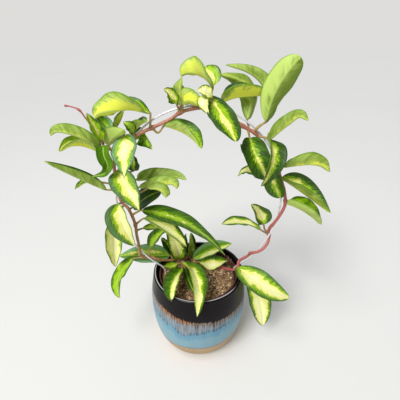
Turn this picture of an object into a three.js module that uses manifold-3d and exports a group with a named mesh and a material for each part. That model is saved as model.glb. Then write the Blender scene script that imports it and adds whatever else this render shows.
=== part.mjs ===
// A potted hoya: a nursery pot of soil stands in a glazed cover pot, a wire hoop stands in the soil, and
// two leafy vines are wound round the hoop. Millimetres, +Z up, the origin under the middle of the pot.
import * as THREE from "three";
import { mergeVertices } from "three/addons/utils/BufferGeometryUtils.js";
import Module from "manifold-3d";

// Cover pot
const potHeight = 118;
const potBaseRadius = 46;
const potBellyRadius = 65;
const potBellyHeight = 68;
const potRimRadius = 60.5;
const potMouthRadius = 55.5;
const potWall = 5;
const potFloor = 6;
const potSegments = 32;

// Nursery pot
const nurseryTop = 113.5;
const nurseryTopRadius = 52.5;
const nurseryFootRadius = 38;
const nurseryWall = 1.2;
const nurseryBand = 12;
const drainRadius = 4;
const drainRing = 26;
const drainCount = 6;

// Soil
const soilTop = 108;
const soilBump = 0.8;

// Wire hoop
const wireRadius = 1.1;
const hoopHalfWidth = 99;
const hoopHalfHeight = 116;
const hoopCentre = [0.8, 4.8, 218];
const hoopFootHeight = 122;
const hoopArcSteps = 40;
const hoopSides = 6;
const hoopSteps = 64;
const legPoints = [[50, 117], [46, 108], [42, 84], [38, 60]];

// Stems
const vineRadius = 1.9;
const vineSides = 6;
const vineStepsPerPoint = 1.2;
const stalkRadius = 1.2;
const stalkSides = 4;
const stalkTaper = 0.7;
const shootRadius = 1.2;
const shootSteps = 12;
const shootTaper = 0.6;
const knotSwelling = 1.25;

// Blades
const edgeThickness = 0.8;
const ribThickness = 1.1;
const bladeStations = [0, 0.08, 0.25, 0.45, 0.65, 0.85, 1];
const bladeWidest = 0.4;
const bladeTaper = 0.95;
const bladeLeastHalf = 0.6;

// Clearance between touching pieces
const gap = 0.3;
const holeClearance = 0.45;
const holeSides = 10;
const seamShare = 0.02;

const wasm = await Module();
wasm.setup();

// Solids from geometries and back

function toSolid(geometry) {
  const bare = geometry.clone();
  bare.deleteAttribute("normal");
  bare.deleteAttribute("uv");
  const merged = mergeVertices(bare, 1e-4);
  return new wasm.Manifold(
    new wasm.Mesh({
      numProp: 3,
      vertProperties: merged.attributes.position.array,
      triVerts: new Uint32Array(merged.index.array),
    }),
  );
}

function toGeometry(solid) {
  const mesh = solid.getMesh();
  const geometry = new THREE.BufferGeometry();
  geometry.setAttribute("position", new THREE.BufferAttribute(mesh.vertProperties, 3));
  geometry.setIndex(new THREE.BufferAttribute(mesh.triVerts, 1));
  geometry.computeVertexNormals();
  return geometry;
}

function joined(geometries) {
  return geometries.map(toSolid).reduce((all, next) => all.add(next));
}

// Closes a row of equal rings into one skin. Quads from mirroredFrom on are split the other way.
function loft(rings, mirroredFrom = Infinity) {
  const size = rings[0].length;
  const positions = rings.flat().flatMap((point) => point.toArray());
  const index = [];
  for (let i = 0; i + 1 < rings.length; i++) {
    for (let j = 0; j < size; j++) {
      const a = i * size + j;
      const b = i * size + ((j + 1) % size);
      const c = b + size;
      const d = a + size;
      index.push(...(j < mirroredFrom ? [a, b, c, a, c, d] : [a, b, d, b, c, d]));
    }
  }
  const last = (rings.length - 1) * size;
  for (let k = 2; k < size; k++) {
    const next = (k + 1) % size;
    index.push(1, next, k, last + 1, last + k, last + next);
  }
  const geometry = new THREE.BufferGeometry();
  geometry.setAttribute("position", new THREE.Float32BufferAttribute(positions, 3));
  geometry.setIndex(index);
  return geometry;
}

// A round rod along a curve, tapering from one radius to the other
function rod(curve, radius, sides, steps, endRadius = radius) {
  const frames = curve.computeFrenetFrames(steps, false);
  const rings = [];
  for (let i = 0; i <= steps; i++) {
    const centre = curve.getPointAt(i / steps);
    const r = THREE.MathUtils.lerp(radius, endRadius, i / steps);
    const ring = [];
    for (let j = 0; j < sides; j++) {
      const angle = (2 * Math.PI * j) / sides;
      ring.push(
        centre
          .clone()
          .addScaledVector(frames.normals[i], r * Math.cos(angle))
          .addScaledVector(frames.binormals[i], r * Math.sin(angle)),
      );
    }
    rings.push(ring);
  }
  return loft(rings);
}

const vec = (p) => new THREE.Vector3(...p);
const smooth = (points) => new THREE.CatmullRomCurve3(points.map(vec), false, "centripetal");
const line = (from, to) => new THREE.LineCurve3(vec(from), vec(to));

// Part of a longer curve between two of its points, drawn back a little at each end
class Stretch extends THREE.Curve {
  constructor(points, from, to) {
    super();
    this.whole = smooth(points);
    const spans = points.length - 1;
    this.from = (from + (from > 0 ? seamShare : 0)) / spans;
    this.to = (to - (to < spans ? seamShare : 0)) / spans;
  }

  getPoint(t, target) {
    return this.whole.getPoint(THREE.MathUtils.lerp(this.from, this.to, t), target);
  }
}

function knot(at, radius) {
  return new THREE.IcosahedronGeometry(radius * knotSwelling, 0).translate(...at);
}

// Leaves

// How wide a blade is at a share of its length, where 1 is its widest
function bladeShape(t, widest, taper) {
  const rise = (taper * widest) / (1 - widest);
  const peak = widest ** rise * (1 - widest) ** taper;
  return (t ** rise * (1 - t) ** taper) / peak;
}

// One row of a leaf list. The stalk's points lead to the blade's base; the midrib then runs from base
// through middle to tip. face is the way the upper side looks, width is across the widest place, fold is
// how far each half is raised and twist is how far the blade turns from base to tip, in degrees.
function leaf(stalk, base, middle, tip, face, width, fold, twist, widest = bladeWidest, taper = bladeTaper) {
  return { stalk, base, middle, tip, face, width, fold, twist, widest, taper };
}

// A blade that rolls as it goes: its midrib runs through all the points of rib, and faces gives the way
// its upper side looks at each of them.
function curled(stalk, rib, faces, width, fold, widest = bladeWidest, taper = bladeTaper) {
  return { stalk, rib, faces, base: rib[0], middle: rib[1], width, fold, widest, taper };
}

function ribOf(row) {
  if (row.rib) return smooth(row.rib);
  const base = vec(row.base);
  const tip = vec(row.tip);
  const bend = vec(row.middle).multiplyScalar(2).sub(base.clone().add(tip).multiplyScalar(0.5));
  return new THREE.QuadraticBezierCurve3(base, bend, tip);
}

// The way the upper side looks at a share of the length, square to the midrib
function upAt(row, t, along) {
  const up = vec(row.face ?? row.faces[0]);
  if (row.faces) {
    const place = t * (row.faces.length - 1);
    const before = Math.min(Math.floor(place), row.faces.length - 2);
    up.copy(vec(row.faces[before]).normalize());
    up.lerp(vec(row.faces[before + 1]).normalize(), place - before);
  }
  up.addScaledVector(along, -up.dot(along)).normalize();
  return row.faces ? up : up.applyAxisAngle(along, THREE.MathUtils.degToRad(-row.twist) * (t - 0.5));
}

function blade(row) {
  const rib = ribOf(row);
  const fold = THREE.MathUtils.degToRad(row.fold);
  const rings = bladeStations.map((t) => {
    const centre = rib.getPoint(t);
    const along = rib.getTangent(t);
    const up = upAt(row, t, along);
    const side = new THREE.Vector3().crossVectors(along, up);
    const shape = t > 0 && t < 1 ? bladeShape(t, row.widest, row.taper) : 0;
    const half = Math.max(bladeLeastHalf, (row.width / 2) * shape);
    const edge = (sign) =>
      centre
        .clone()
        .addScaledVector(side, sign * half * Math.cos(fold))
        .addScaledVector(up, half * Math.sin(fold));
    const under = (sign) =>
      edge(sign)
        .addScaledVector(up, -edgeThickness * Math.cos(fold))
        .addScaledVector(side, sign * edgeThickness * Math.sin(fold));
    const keel = centre.clone().addScaledVector(up, -ribThickness / Math.cos(fold));
    return [edge(-1), centre, edge(1), under(1), keel, under(-1)];
  });
  return loft(rings, 3);
}

// The stalk ends a little way up the blade's underside.
function stalk(row) {
  const into = vec(row.base).lerp(vec(row.middle), 0.06).toArray();
  const curve = smooth([...row.stalk, row.base, into]);
  return rod(curve, stalkRadius, stalkSides, row.stalk.length + 1, stalkRadius * stalkTaper);
}

function leaves(rows) {
  return rows.flatMap((row) => [stalk(row), blade(row)]);
}

// Vines

const leftRoot = [-26, 27, 88];
const leftVine = [
  [-28, 25, 111], [-35, 21, 115], [-42, 17, 118], [-50, 12, 123], [-57, 9, 127], [-63, 9, 130],
  [-69, 8, 131], [-73, 5, 135], [-77, 2, 140], [-77, 1, 148], [-77, 0, 160], [-78, 0, 175],
  [-78, 0, 189], [-81, 0, 204], [-85, 0, 215], [-90, 1, 220], [-93, 1, 228], [-94, 1, 240],
  [-94, 0.7, 252], [-94, 1, 266], [-92, 1, 277], [-88, 1, 287], [-78, 1, 297], [-66, 0.7, 303],
  [-57, 1, 308], [-48, 1, 312], [-37, 1, 317], [-28, 1, 321], [-18, 1, 328], [-8, 1, 331],
  [6, 0.7, 333], [16, 0.7, 332], [25, 2, 328], [36, 2, 321], [47, 1, 314], [54, 1, 310],
  [60, 1, 307], [65, 1, 302],
];
const rightRoot = [28, 12, 88];
const rightVine = [
  [30, 12, 111], [35, 8, 112], [41, 3, 114], [49, -2, 118], [53, -1, 121], [55, 5, 126],
  [61, 9, 128], [67, 9, 132], [70, 8, 138], [69, 5, 141], [74, 1, 145], [80, 0, 148],
  [86, 1, 153], [91, 4, 160], [92, 8, 168], [91, 8, 176], [92, 5, 184], [94, 2, 190],
  [98, 0.5, 199], [102, 1, 208], [105, 3, 216], [105, 4, 222], [103, 2, 230], [100, 0.5, 240],
  [95, 0.5, 252], [90, 0.5, 265], [83, 1, 276],
];
const youngShoot = [
  [-90, 1, 284], [-95, 2, 287], [-101, 2, 290], [-107, 8, 298], [-114, 12, 308], [-121, 14, 319],
  [-127, 16, 327], [-136, 18, 330], [-142, 18, 331],
];
const crownRoot = [-23, 20, 88];
const crownTop = [-23, 18, 113];
const backRoot = [-18, 30, 88];
const backTop = [-18, 29, 112];
const rightCrownRoot = [-5, 20, 88];
const rightCrownTop = [-5, 19, 113];

const leftFootLeaves = [
  leaf([[-67, 8, 131]], [-64, 5, 150], [-53, 1, 170], [-36, 0, 186], [-0.7, -0.5, 0.5], 20, 25, 30),
  leaf([[-70, 7, 132]], [-88, 5, 131], [-108, -9, 109], [-100, -38, 103], [-0.6, -0.3, 0.7], 25, 10, -20),
  leaf([[-34, 22, 115]], [-41, 26, 119], [-76, 22, 122], [-111, 19, 124], [-0.1, -0.4, 0.9], 33, 30, -10),
];

const leftLowerLeaves = [
  leaf([[-91, 1, 221]], [-94, -4, 222], [-92, -11, 199], [-81, -7, 162], [0, -1, 0.1], 35, 40, 20),
  leaf([[-88, 1, 218]], [-99, 0, 208], [-108, -2, 167], [-111, -3, 124], [0.3, -0.9, 0], 27, 40, 15),
  leaf([[-81, 0, 204]], [-66, -8, 216], [-14, -20, 207], [30, -52, 185], [0.3, 0, 1], 30, 5, 40),
  leaf([[-78, 0, 190]], [-65, -4, 202], [-37, -15, 190], [-14, -21, 172], [0.4, -0.3, 0.9], 30, 50, -10),
  leaf([[-84, 0, 212]], [-80, 9, 210], [-59, 0, 230], [-44, 12, 231], [-0.4, -0.6, 0.7], 25, 15, 0),
  leaf([[-78, 0, 181]], [-71, 9, 178], [-55, 13, 177], [-39, 10, 176], [0.1, -0.2, 1], 12, 15, 5),
];

const leftMiddleLeaves = [
  leaf([[-94, 1, 262]], [-91, 0, 263], [-79, -18, 250], [-64, -31, 230], [0.1, -0.7, 0.7], 31, 30, 25),
  leaf([[-94, 1, 238]], [-108, 2, 238], [-132, -8, 258], [-159, -20, 283], [0.5, 0.4, 0.8], 21, 60, 0),
  leaf([[-94, 1, 245]], [-119, 9, 245], [-133, 11, 244], [-143, 0, 240], [-0.2, 0.1, 1], 14, 35, 5),
  curled(
    [[-94, 1, 250]],
    [[-72, 8, 248], [-59, 12, 247], [-47, 13, 248], [-33, 11, 250], [-21, 8, 251], [-13, 4, 250]],
    [[0, 0.9, 0.4], [0, 0.9, 0.4], [0, 0.9, 0.4], [0, 0.9, 0.4], [0.2, 0.9, 0.3], [0.4, 0.9, 0.3]],
    25, 45, 0.3,
  ),
  curled(
    [[-94, 1, 241]],
    [[-68, -2, 243], [-56, -5, 246], [-45, -8, 250], [-34, -10, 252], [-27, -11, 252], [-23, -12, 247]],
    [[0, 0.9, 0.4], [0, 0.9, 0.4], [0, 0.9, 0.4], [0, 0.9, 0.4], [0.3, 0.9, 0.2], [0.4, 0.9, 0]],
    19, 40, 0.5, 0.7,
  ),
  curled(
    [[-94, 1, 236], [-68, -3, 237]],
    [[-56, -9, 246], [-47, -12, 247], [-41, -14, 246], [-37, -15, 242], [-36, -15, 237]],
    [[0, 0.9, 0.4], [0.2, 0.9, 0.3], [0.4, 0.9, 0], [0.3, 0.9, -0.1], [0.2, 1, 0]],
    16, 40, 0.5, 0.7,
  ),
  leaf([[-94, 1, 256], [-84, 4, 258]], [-72, 1, 263], [-71, -3, 274], [-70, -4, 284], [0, -0.9, -0.4],
    15, 30, 0),
];

const leftUpperLeaves = [
  curled(
    [[-50, 1, 311], [-49, -1, 319]],
    [[-49, 3, 327], [-58, 0, 330], [-68, -5, 333], [-79, -9, 333], [-90, -10, 332], [-99, -8, 329],
     [-104, -6, 324]],
    [[0, -0.6, 0.8], [0, -0.5, 0.9], [0, 0.1, 1], [0, 0.8, 0.6], [0, 1, 0.3], [-0.2, 1, 0.2],
     [-0.4, 0.9, 0.1]],
    35, 45, 0.5,
  ),
  curled(
    [[-94, 2, 287]],
    [[-105, 1, 291], [-112, -8, 300], [-121, -14, 308], [-133, -16, 313], [-144, -14, 313],
     [-150, -12, 308]],
    [[0.2, 0.5, 0.9], [0.2, 0.8, 0.6], [0.1, 0.9, 0.4], [0, 0.9, 0.4], [-0.2, 0.9, 0.4], [-0.5, 0.8, 0.3]],
    19, 40,
  ),
  leaf([[-101, 2, 290]], [-109, -2, 288], [-127, -9, 297], [-136, -31, 298], [0.1, 0.2, 1], 23, 50, 0),
  leaf([[-103, 4, 293]], [-103, 2, 298], [-108, 0, 312], [-113, -2, 328], [0.6, -0.7, 0.2], 16, 40, 0),
  leaf([[-95, 2, 287]], [-99, 9, 290], [-91, 4, 300], [-75, -11, 314], [0, 0.8, 0.6], 28, 35, 20),
  leaf([[-89, 1, 285], [-90, 10, 291]], [-94, 12, 302], [-105, 20, 314], [-111, 10, 326],
    [0.5, -0.8, 0.3], 16, 35, 10),
  leaf([[-86, 1, 290], [-87, 9, 297]], [-90, 11, 309], [-83, 9, 318], [-78, 10, 330], [-0.9, -0.2, 0.5],
    14, 50, 0),
  curled(
    [[-94, 2, 287]],
    [[-101, -4, 294], [-100, -10, 286], [-97, -12, 275], [-101, -12, 266], [-117, -9, 260]],
    [[0, -0.9, 0.5], [0.2, -1, 0.2], [0.3, -0.9, 0.1], [0, -0.9, 0.4], [0, -0.6, 0.8]],
    17, 40, 0.2, 0.9,
  ),
  leaf([[-80, 1, 295]], [-79, 3, 303], [-76, -16, 288], [-73, -42, 274], [-0.3, -0.5, 0.8],
    32, 10, 35, 0.3, 1.3),
  leaf([[-80, 1, 295], [-78, 8, 295]], [-71, 9, 296], [-59, 10, 298], [-47, -19, 296],
    [-0.7, -0.6, 0.4], 22, 35, -55),
  leaf([[-68, 1, 302]], [-67, 1, 307], [-69, -8, 316], [-75, -8, 321], [0.8, -0.5, -0.1], 11, 15, 0),
  leaf([[-72, 1, 300]], [-70, 4, 305], [-61, 2, 315], [-50, -15, 324], [-0.5, 0.3, 0.8], 18, 50, 5),
  leaf([[-48, 1, 312], [-42, 0, 307]], [-35, 3, 314], [-12, -3, 307], [4, -25, 299],
    [0.4, 0, 0.9], 29, 50, -10),
];

const topLeftLeaves = [
  curled(
    [[8, 0.7, 333], [12, 0, 343]],
    [[15, 0, 353], [9, 2, 360], [1, 6, 364], [-7, 10, 365], [-13, 11, 364], [-17, 11, 362]],
    [[0.7, -0.5, 0.6], [0.5, -0.4, 0.8], [0.4, 0.2, 0.9], [0.3, 0.8, 0.5], [-0.1, 0.8, 0.7],
     [-0.4, 0.7, 0.6]],
    34, 45, 0.3, 0.8,
  ),
  curled(
    [[-18, 1, 328]],
    [[-17, -2, 336], [-16, -4, 344], [-17, -5, 353], [-15, -5, 363]],
    [[-0.4, 0.9, 0.1], [-0.3, 1, 0], [-0.6, 0.8, 0], [-0.8, 0.6, 0]],
    22, 35, 0.3, 1.1,
  ),
  curled(
    [[-17, 1, 328], [-15, -3, 334]],
    [[-15, -4, 338], [-10, -7, 342], [-4, -8, 341], [1, -8, 338], [7, -6, 333]],
    [[0, 0.9, 0.4], [0, 0.9, 0.4], [0, 0.9, 0.4], [0.3, 0.9, 0.3], [0.5, 0.8, 0]],
    24, 35, 0.15, 1.1,
  ),
  curled(
    [[-18, 1, 328], [-20, -4, 335]],
    [[-21, -6, 339], [-23, -8, 345], [-27, -9, 350], [-32, -10, 353]],
    [[-0.3, -0.8, 0.5], [-0.3, -0.8, 0.5], [-0.3, -0.8, 0.5], [-0.3, -0.8, 0.5]],
    16, 50,
  ),
  leaf([[10, 0.7, 332], [14, -6, 341]], [14, -11, 346], [7, -14, 351], [0, -16, 352], [0, -0.7, 0.7],
    14, 20, 0),
  leaf([[10, 0.7, 332], [14, -8, 338]], [12, -14, 344], [6, -18, 343], [11, -23, 332], [-0.5, -0.4, 0.8],
    14, 20, 0),
  leaf([[12, 0.7, 332]], [9, -6, 347], [22, -18, 332], [35, -47, 314], [0.3, -0.6, 0.7],
    29, 5, 15, 0.6, 0.6),
];

const topRightLeaves = [
  leaf([[27, 2, 327], [27, 2, 333]], [25, 4, 338], [47, 5, 344], [80, 14, 342],
    [0, 0.1, 1], 34, 48, 0),
  leaf([[54, 1, 310], [54, 7, 312]], [52, 8, 319], [53, 21, 348], [22, 15, 362], [-0.3, 1, 0], 25, 40, -15),
  leaf([[60, 1, 307], [62, -1, 313]], [75, 9, 318], [68, 24, 353], [29, 28, 370], [0.7, 0.7, 0.4],
    20, 40, 5),
  leaf([[60, 1, 307], [61, -2, 311]], [70, -2, 320], [77, -5, 353], [94, -10, 381], [0.1, 1, 0],
    30, 30, 20, 0.6, 0.5),
  leaf([[53, 1, 310]], [55, -2, 302], [62, -23, 285], [76, -11, 258], [0, -0.9, 0.3],
    27, 25, -10, 0.38, 0.75),
  leaf([[64, 1, 303]], [73, -7, 303], [76, -29, 288], [68, -24, 256], [0.5, -0.9, 0.2],
    28, 35, -20, 0.3, 0.75),
];

const rightUpperLeaves = [
  leaf([[86, 1, 272]], [82, -1, 270], [86, -8, 251], [96, -5, 231], [-0.5, -0.9, -0.1],
    23, 20, 20, 0.5, 0.6),
  leaf([[95, 0.5, 252]], [70, 4, 252], [58, 7, 261], [47, 14, 250], [-0.2, -0.3, 0.9], 14, 15, 25),
  leaf([[85, 1, 273]], [62, 10, 272], [53, 3, 286], [47, 6, 292], [0.4, -0.9, 0.2], 14, 35, 0),
  curled(
    [[90, 0.5, 265]],
    [[96, -2, 269], [108, -6, 273], [123, -8, 275], [136, -6, 272], [147, -4, 264]],
    [[0, 0.1, 1], [0, 0.4, 0.9], [0, 0.8, 0.6], [0.1, 0.9, 0.4], [0.4, 0.9, 0.3]],
    27, 45,
  ),
  leaf([[94, 0.5, 254]], [95, -1, 255], [124, -5, 236], [151, -20, 220], [0.5, -0.2, 0.9], 36, 50, 20),
  curled(
    [[83, 1, 276], [81, -1, 288]],
    [[78, 4, 299], [87, 2, 309], [95, -2, 318], [103, -6, 326], [111, -10, 323]],
    [[-0.3, 0.8, 0.4], [-0.5, 0.8, 0.4], [-0.4, 0.8, 0.5], [0, 0.8, 0.6], [0.5, 0.7, 0.6]],
    21, 45,
  ),
];

const rightLowerLeaves = [
  leaf([[50, -2, 118]], [53, -6, 126], [81, -31, 118], [119, -32, 97],
    [0.2, -0.4, 0.9], 36, 15, -25, 0.38, 0.8),
  leaf([[54, -1, 121], [62, -1, 122], [68, 0, 116]], [71, 1, 105], [84, -17, 76], [92, -24, 33],
    [0.3, -0.9, 0.2], 32, 15, -20, 0.45, 0.7),
  leaf([[92, 8, 171], [85, 5, 179]], [82, 2, 189], [76, 1, 205], [61, -13, 227],
    [0.5, -0.9, -0.1], 25, 35, -10),
  leaf([[92, 8, 169], [84, 4, 176]], [78, -1, 183], [55, 4, 191], [28, -17, 202], [0.3, 0.1, 0.9],
    23, 15, 20),
  leaf([[105, 4, 221]], [107, 1, 220], [126, -9, 215], [151, -4, 193], [0.5, -0.3, 0.8], 30, 65, 5),
];

const crownBackLeaves = [
  leaf([[-19, 29, 110], [-24, 33, 112]], [-32, 34, 112], [-42, 36, 129], [-54, 45, 136],
    [-0.1, -0.8, 0.6], 20, 50, 40),
  leaf([[-19, 29, 109]], [-28, 20, 118], [-30, 10, 151], [-42, 12, 175], [0.3, -1, -0.1], 26, 45, 10),
  leaf([[-18, 29, 109]], [-22, 28, 112], [-21, 30, 132], [-17, 27, 156], [0, -1, 0], 14, 35, 0),
  leaf([[-18, 29, 110]], [-14, 32, 113], [-12, 31, 134], [-10, 21, 162], [1, -0.1, -0.1], 20, 55, 0),
];

const crownRightLeaves = [
  leaf([[-5, 19, 111]], [-7, 19, 119], [21, 20, 135], [46, 22, 143], [-0.3, -0.5, 0.8], 25, 40, 5),
  leaf([[-5, 19, 111]], [1, 11, 120], [23, 16, 114], [38, -1, 132], [-0.5, -0.5, 0.8], 22, 15, 35),
];

const crownFrontLeaves = [
  leaf([[-23, 18, 111]], [-21, 7, 122], [0, -39, 130], [-1, -75, 113], [0.2, -0.1, 1], 27, 45, -45),
  leaf([[-23, 18, 111]], [-18, 4, 115], [-11, -25, 116], [-2, -43, 111], [-0.1, -0.1, 1], 12, 45, 0),
  leaf([[-23, 18, 111]], [-22, 4, 115], [-32, -41, 130], [-32, -55, 116], [-0.1, 0, 1], 23, 35, 20),
  leaf([[-23, 18, 111]], [-30, 16, 112], [-39, 9, 114], [-47, 2, 120], [0.5, 0, 0.9], 13, 10, -10),
];

// The pot, its lining and the soil

function turned(points, segments) {
  return new THREE.LatheGeometry(points, segments).rotateX(Math.PI / 2);
}

function coverPotGeometry() {
  const outside = new THREE.SplineCurve([
    new THREE.Vector2(potBaseRadius, 1.5),
    new THREE.Vector2(53.5, 11),
    new THREE.Vector2(59.5, 25),
    new THREE.Vector2(63.5, 44),
    new THREE.Vector2(potBellyRadius, potBellyHeight),
    new THREE.Vector2(64, 92),
    new THREE.Vector2(potRimRadius, potHeight - 3),
  ]).getPoints(10);
  const inside = new THREE.SplineCurve([
    new THREE.Vector2(potMouthRadius, potHeight - 3),
    new THREE.Vector2(potBellyRadius - potWall, potBellyHeight),
    new THREE.Vector2(59.5 - potWall, 25),
    new THREE.Vector2(42, potFloor),
  ]).getPoints(5);
  const rim = (potRimRadius + potMouthRadius) / 2;
  return turned(
    [
      new THREE.Vector2(0, 0),
      new THREE.Vector2(potBaseRadius - 1.5, 0),
      ...outside,
      new THREE.Vector2(rim + 1.2, potHeight),
      new THREE.Vector2(rim - 1.2, potHeight),
      ...inside,
      new THREE.Vector2(0, potFloor),
    ],
    potSegments,
  );
}

function nurseryPotSolid() {
  const foot = potFloor + gap;
  const bandRadius = nurseryTopRadius - nurseryWall;
  const pot = toSolid(
    turned(
      [
        new THREE.Vector2(0, foot),
        new THREE.Vector2(nurseryFootRadius - 1, foot),
        new THREE.Vector2(nurseryFootRadius, foot + 2),
        new THREE.Vector2(bandRadius - 0.8, nurseryTop - nurseryBand),
        new THREE.Vector2(nurseryTopRadius, nurseryTop - nurseryBand + 1),
        new THREE.Vector2(nurseryTopRadius, nurseryTop),
        new THREE.Vector2(bandRadius, nurseryTop),
        new THREE.Vector2(bandRadius - 2, nurseryTop - nurseryBand - 1),
        new THREE.Vector2(nurseryFootRadius - nurseryWall, foot + 2 + nurseryWall),
        new THREE.Vector2(nurseryFootRadius - 2 * nurseryWall, foot + nurseryWall),
        new THREE.Vector2(0, foot + nurseryWall),
      ],
      potSegments,
    ),
  );
  const drains = [];
  for (let i = 0; i < drainCount; i++) {
    const angle = (2 * Math.PI * i) / drainCount;
    drains.push(
      new THREE.CylinderGeometry(drainRadius, drainRadius, 4, 8)
        .rotateX(Math.PI / 2)
        .translate(drainRing * Math.cos(angle), drainRing * Math.sin(angle), foot),
    );
  }
  return pot.subtract(joined(drains));
}

function hole(from, to, radius) {
  const axis = vec(to).sub(vec(from)).normalize();
  const start = vec(from).addScaledVector(axis, -holeClearance);
  const end = vec(to).addScaledVector(axis, 4);
  return rod(new THREE.LineCurve3(start, end), radius + holeClearance, holeSides, 1);
}

function soilSolid() {
  const foot = potFloor + gap + nurseryWall + gap;
  const wall = nurseryTopRadius - 2 * nurseryWall - 2 - gap;
  const shoulder = nurseryTop - nurseryBand - 1;
  const body = turned(
    [
      new THREE.Vector2(0, foot),
      new THREE.Vector2(nurseryFootRadius - 2 * nurseryWall - gap, foot),
      new THREE.Vector2(nurseryFootRadius - nurseryWall - gap, foot + 2),
      new THREE.Vector2(wall, shoulder - gap),
      new THREE.Vector2(wall + 0.6, soilTop - 0.6),
      new THREE.Vector2(44, soilTop),
      new THREE.Vector2(35, soilTop + 0.4),
      new THREE.Vector2(25, soilTop + 0.6),
      new THREE.Vector2(14, soilTop + 0.6),
      new THREE.Vector2(0, soilTop + 0.8),
    ],
    potSegments,
  );
  const position = body.attributes.position;
  for (let i = 0; i < position.count; i++) {
    if (position.getZ(i) < soilTop - 0.1) continue;
    const bump = Math.sin(position.getX(i) * 0.37) * Math.cos(position.getY(i) * 0.29);
    position.setZ(i, position.getZ(i) + soilBump * bump);
  }
  const holes = [
    hole(leftRoot, leftVine[0], vineRadius),
    hole(rightRoot, rightVine[0], vineRadius),
    hole(crownRoot, crownTop, vineRadius),
    hole(backRoot, backTop, vineRadius),
    hole(rightCrownRoot, rightCrownTop, vineRadius),
  ];
  for (const side of [-1, 1]) {
    const leg = legPoints.map(([x, z]) => [hoopCentre[0] + side * x, hoopCentre[1], z]);
    holes.push(hole(leg[3], leg[2], wireRadius));
    holes.push(hole(leg[2], leg[1], wireRadius));
  }
  return toSolid(body).subtract(joined(holes));
}

// The hoop: an oval of wire whose two ends run straight down into the soil
function hoopGeometry() {
  const [cx, cy, cz] = hoopCentre;
  const footAngle = Math.asin((hoopFootHeight - cz) / hoopHalfHeight);
  const arc = [];
  for (let i = 0; i <= hoopArcSteps; i++) {
    const angle = footAngle + ((Math.PI - 2 * footAngle) * i) / hoopArcSteps;
    arc.push([cx + hoopHalfWidth * Math.cos(angle), cy, cz + hoopHalfHeight * Math.sin(angle)]);
  }
  const rightLeg = legPoints.map(([x, z]) => [cx + x, cy, z]).reverse();
  const leftLeg = legPoints.map(([x, z]) => [cx - x, cy, z]);
  return rod(smooth([...rightLeg, ...arc, ...leftLeg]), wireRadius, hoopSides, hoopSteps);
}

// Leafy pieces

// A stem that is rooted in the soil: its straight foot and the curve that goes on from it
function rooted(root, top, geometries) {
  return joined([rod(line(root, top), vineRadius, vineSides, 1), knot(top, vineRadius), ...geometries]);
}

function vineStretch(points, from, to, knots) {
  const steps = Math.ceil((to - from) * vineStepsPerPoint);
  return [
    rod(new Stretch(points, from, to), vineRadius, vineSides, steps),
    ...knots.map((at) => knot(points[at], vineRadius)),
  ];
}

const green = new THREE.MeshStandardMaterial({ color: 0x5c9a2e, roughness: 0.35, metalness: 0 });
const lime = new THREE.MeshStandardMaterial({ color: 0xb6cf4f, roughness: 0.35, metalness: 0 });
const cream = new THREE.MeshStandardMaterial({ color: 0xdfe08c, roughness: 0.38, metalness: 0 });
const glaze = new THREE.MeshStandardMaterial({ color: 0x3f7da0, roughness: 0.18, metalness: 0 });
const terracotta = new THREE.MeshStandardMaterial({ color: 0x5b3325, roughness: 0.6, metalness: 0 });
const earth = new THREE.MeshStandardMaterial({ color: 0x46352a, roughness: 1, metalness: 0 });
const steel = new THREE.MeshStandardMaterial({ color: 0xb9bcc0, roughness: 0.35, metalness: 1 });

const plant = new THREE.Group();

function addPiece(name, geometry, material) {
  const mesh = new THREE.Mesh(geometry, material.clone());
  mesh.name = name;
  plant.add(mesh);
}

addPiece("cover_pot", coverPotGeometry(), glaze);
addPiece("nursery_pot", toGeometry(nurseryPotSolid()), terracotta);
addPiece("soil", toGeometry(soilSolid()), earth);
addPiece("hoop", hoopGeometry(), steel);

const leafyPieces = {
  vine_left_foot: [
    () => rooted(leftRoot, leftVine[0], [...vineStretch(leftVine, 0, 10, [6]), ...leaves(leftFootLeaves)]),
    green,
  ],
  vine_left_lower: [
    () => joined([...vineStretch(leftVine, 10, 16, [12]), ...leaves(leftLowerLeaves)]),
    lime,
  ],
  vine_left_middle: [
    () => joined([...vineStretch(leftVine, 16, 20, [18]), ...leaves(leftMiddleLeaves)]),
    green,
  ],
  vine_left_upper: [
    () =>
      joined([
        ...vineStretch(leftVine, 20, 26, [22, 25]),
        rod(smooth(youngShoot), shootRadius, vineSides, shootSteps, shootRadius * shootTaper),
        ...leaves(leftUpperLeaves),
      ]),
    lime,
  ],
  vine_top_left: [
    () => joined([...vineStretch(leftVine, 26, 31, [28]), ...leaves(topLeftLeaves)]),
    cream,
  ],
  vine_top_right: [
    () => joined([...vineStretch(leftVine, 31, 37, [34, 36]), ...leaves(topRightLeaves)]),
    green,
  ],
  vine_right_upper: [
    () => joined([...vineStretch(rightVine, 22, 26, [24]), ...leaves(rightUpperLeaves)]),
    green,
  ],
  vine_right_lower: [
    () =>
      rooted(rightRoot, rightVine[0], [
        ...vineStretch(rightVine, 0, 22, [14, 21]),
        ...leaves(rightLowerLeaves),
      ]),
    lime,
  ],
  crown_back: [() => rooted(backRoot, backTop, leaves(crownBackLeaves)), green],
  crown_right: [() => rooted(rightCrownRoot, rightCrownTop, leaves(crownRightLeaves)), lime],
  crown_front: [() => rooted(crownRoot, crownTop, leaves(crownFrontLeaves)), cream],
};
for (const [name, [solidOf, material]] of Object.entries(leafyPieces)) {
  addPiece(name, toGeometry(solidOf()), material);
}

export default plant;
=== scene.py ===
# Dresses the potted hoya: a glazed cover pot, its lining and soil, a wire hoop, and two leafy vines
# wound round the hoop. The camera looks along +Y. Places listed here are in millimetres, made
# metres by mm; everything else is in metres.
import math
import random

import bpy
from mathutils import Matrix, Vector, noise


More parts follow.
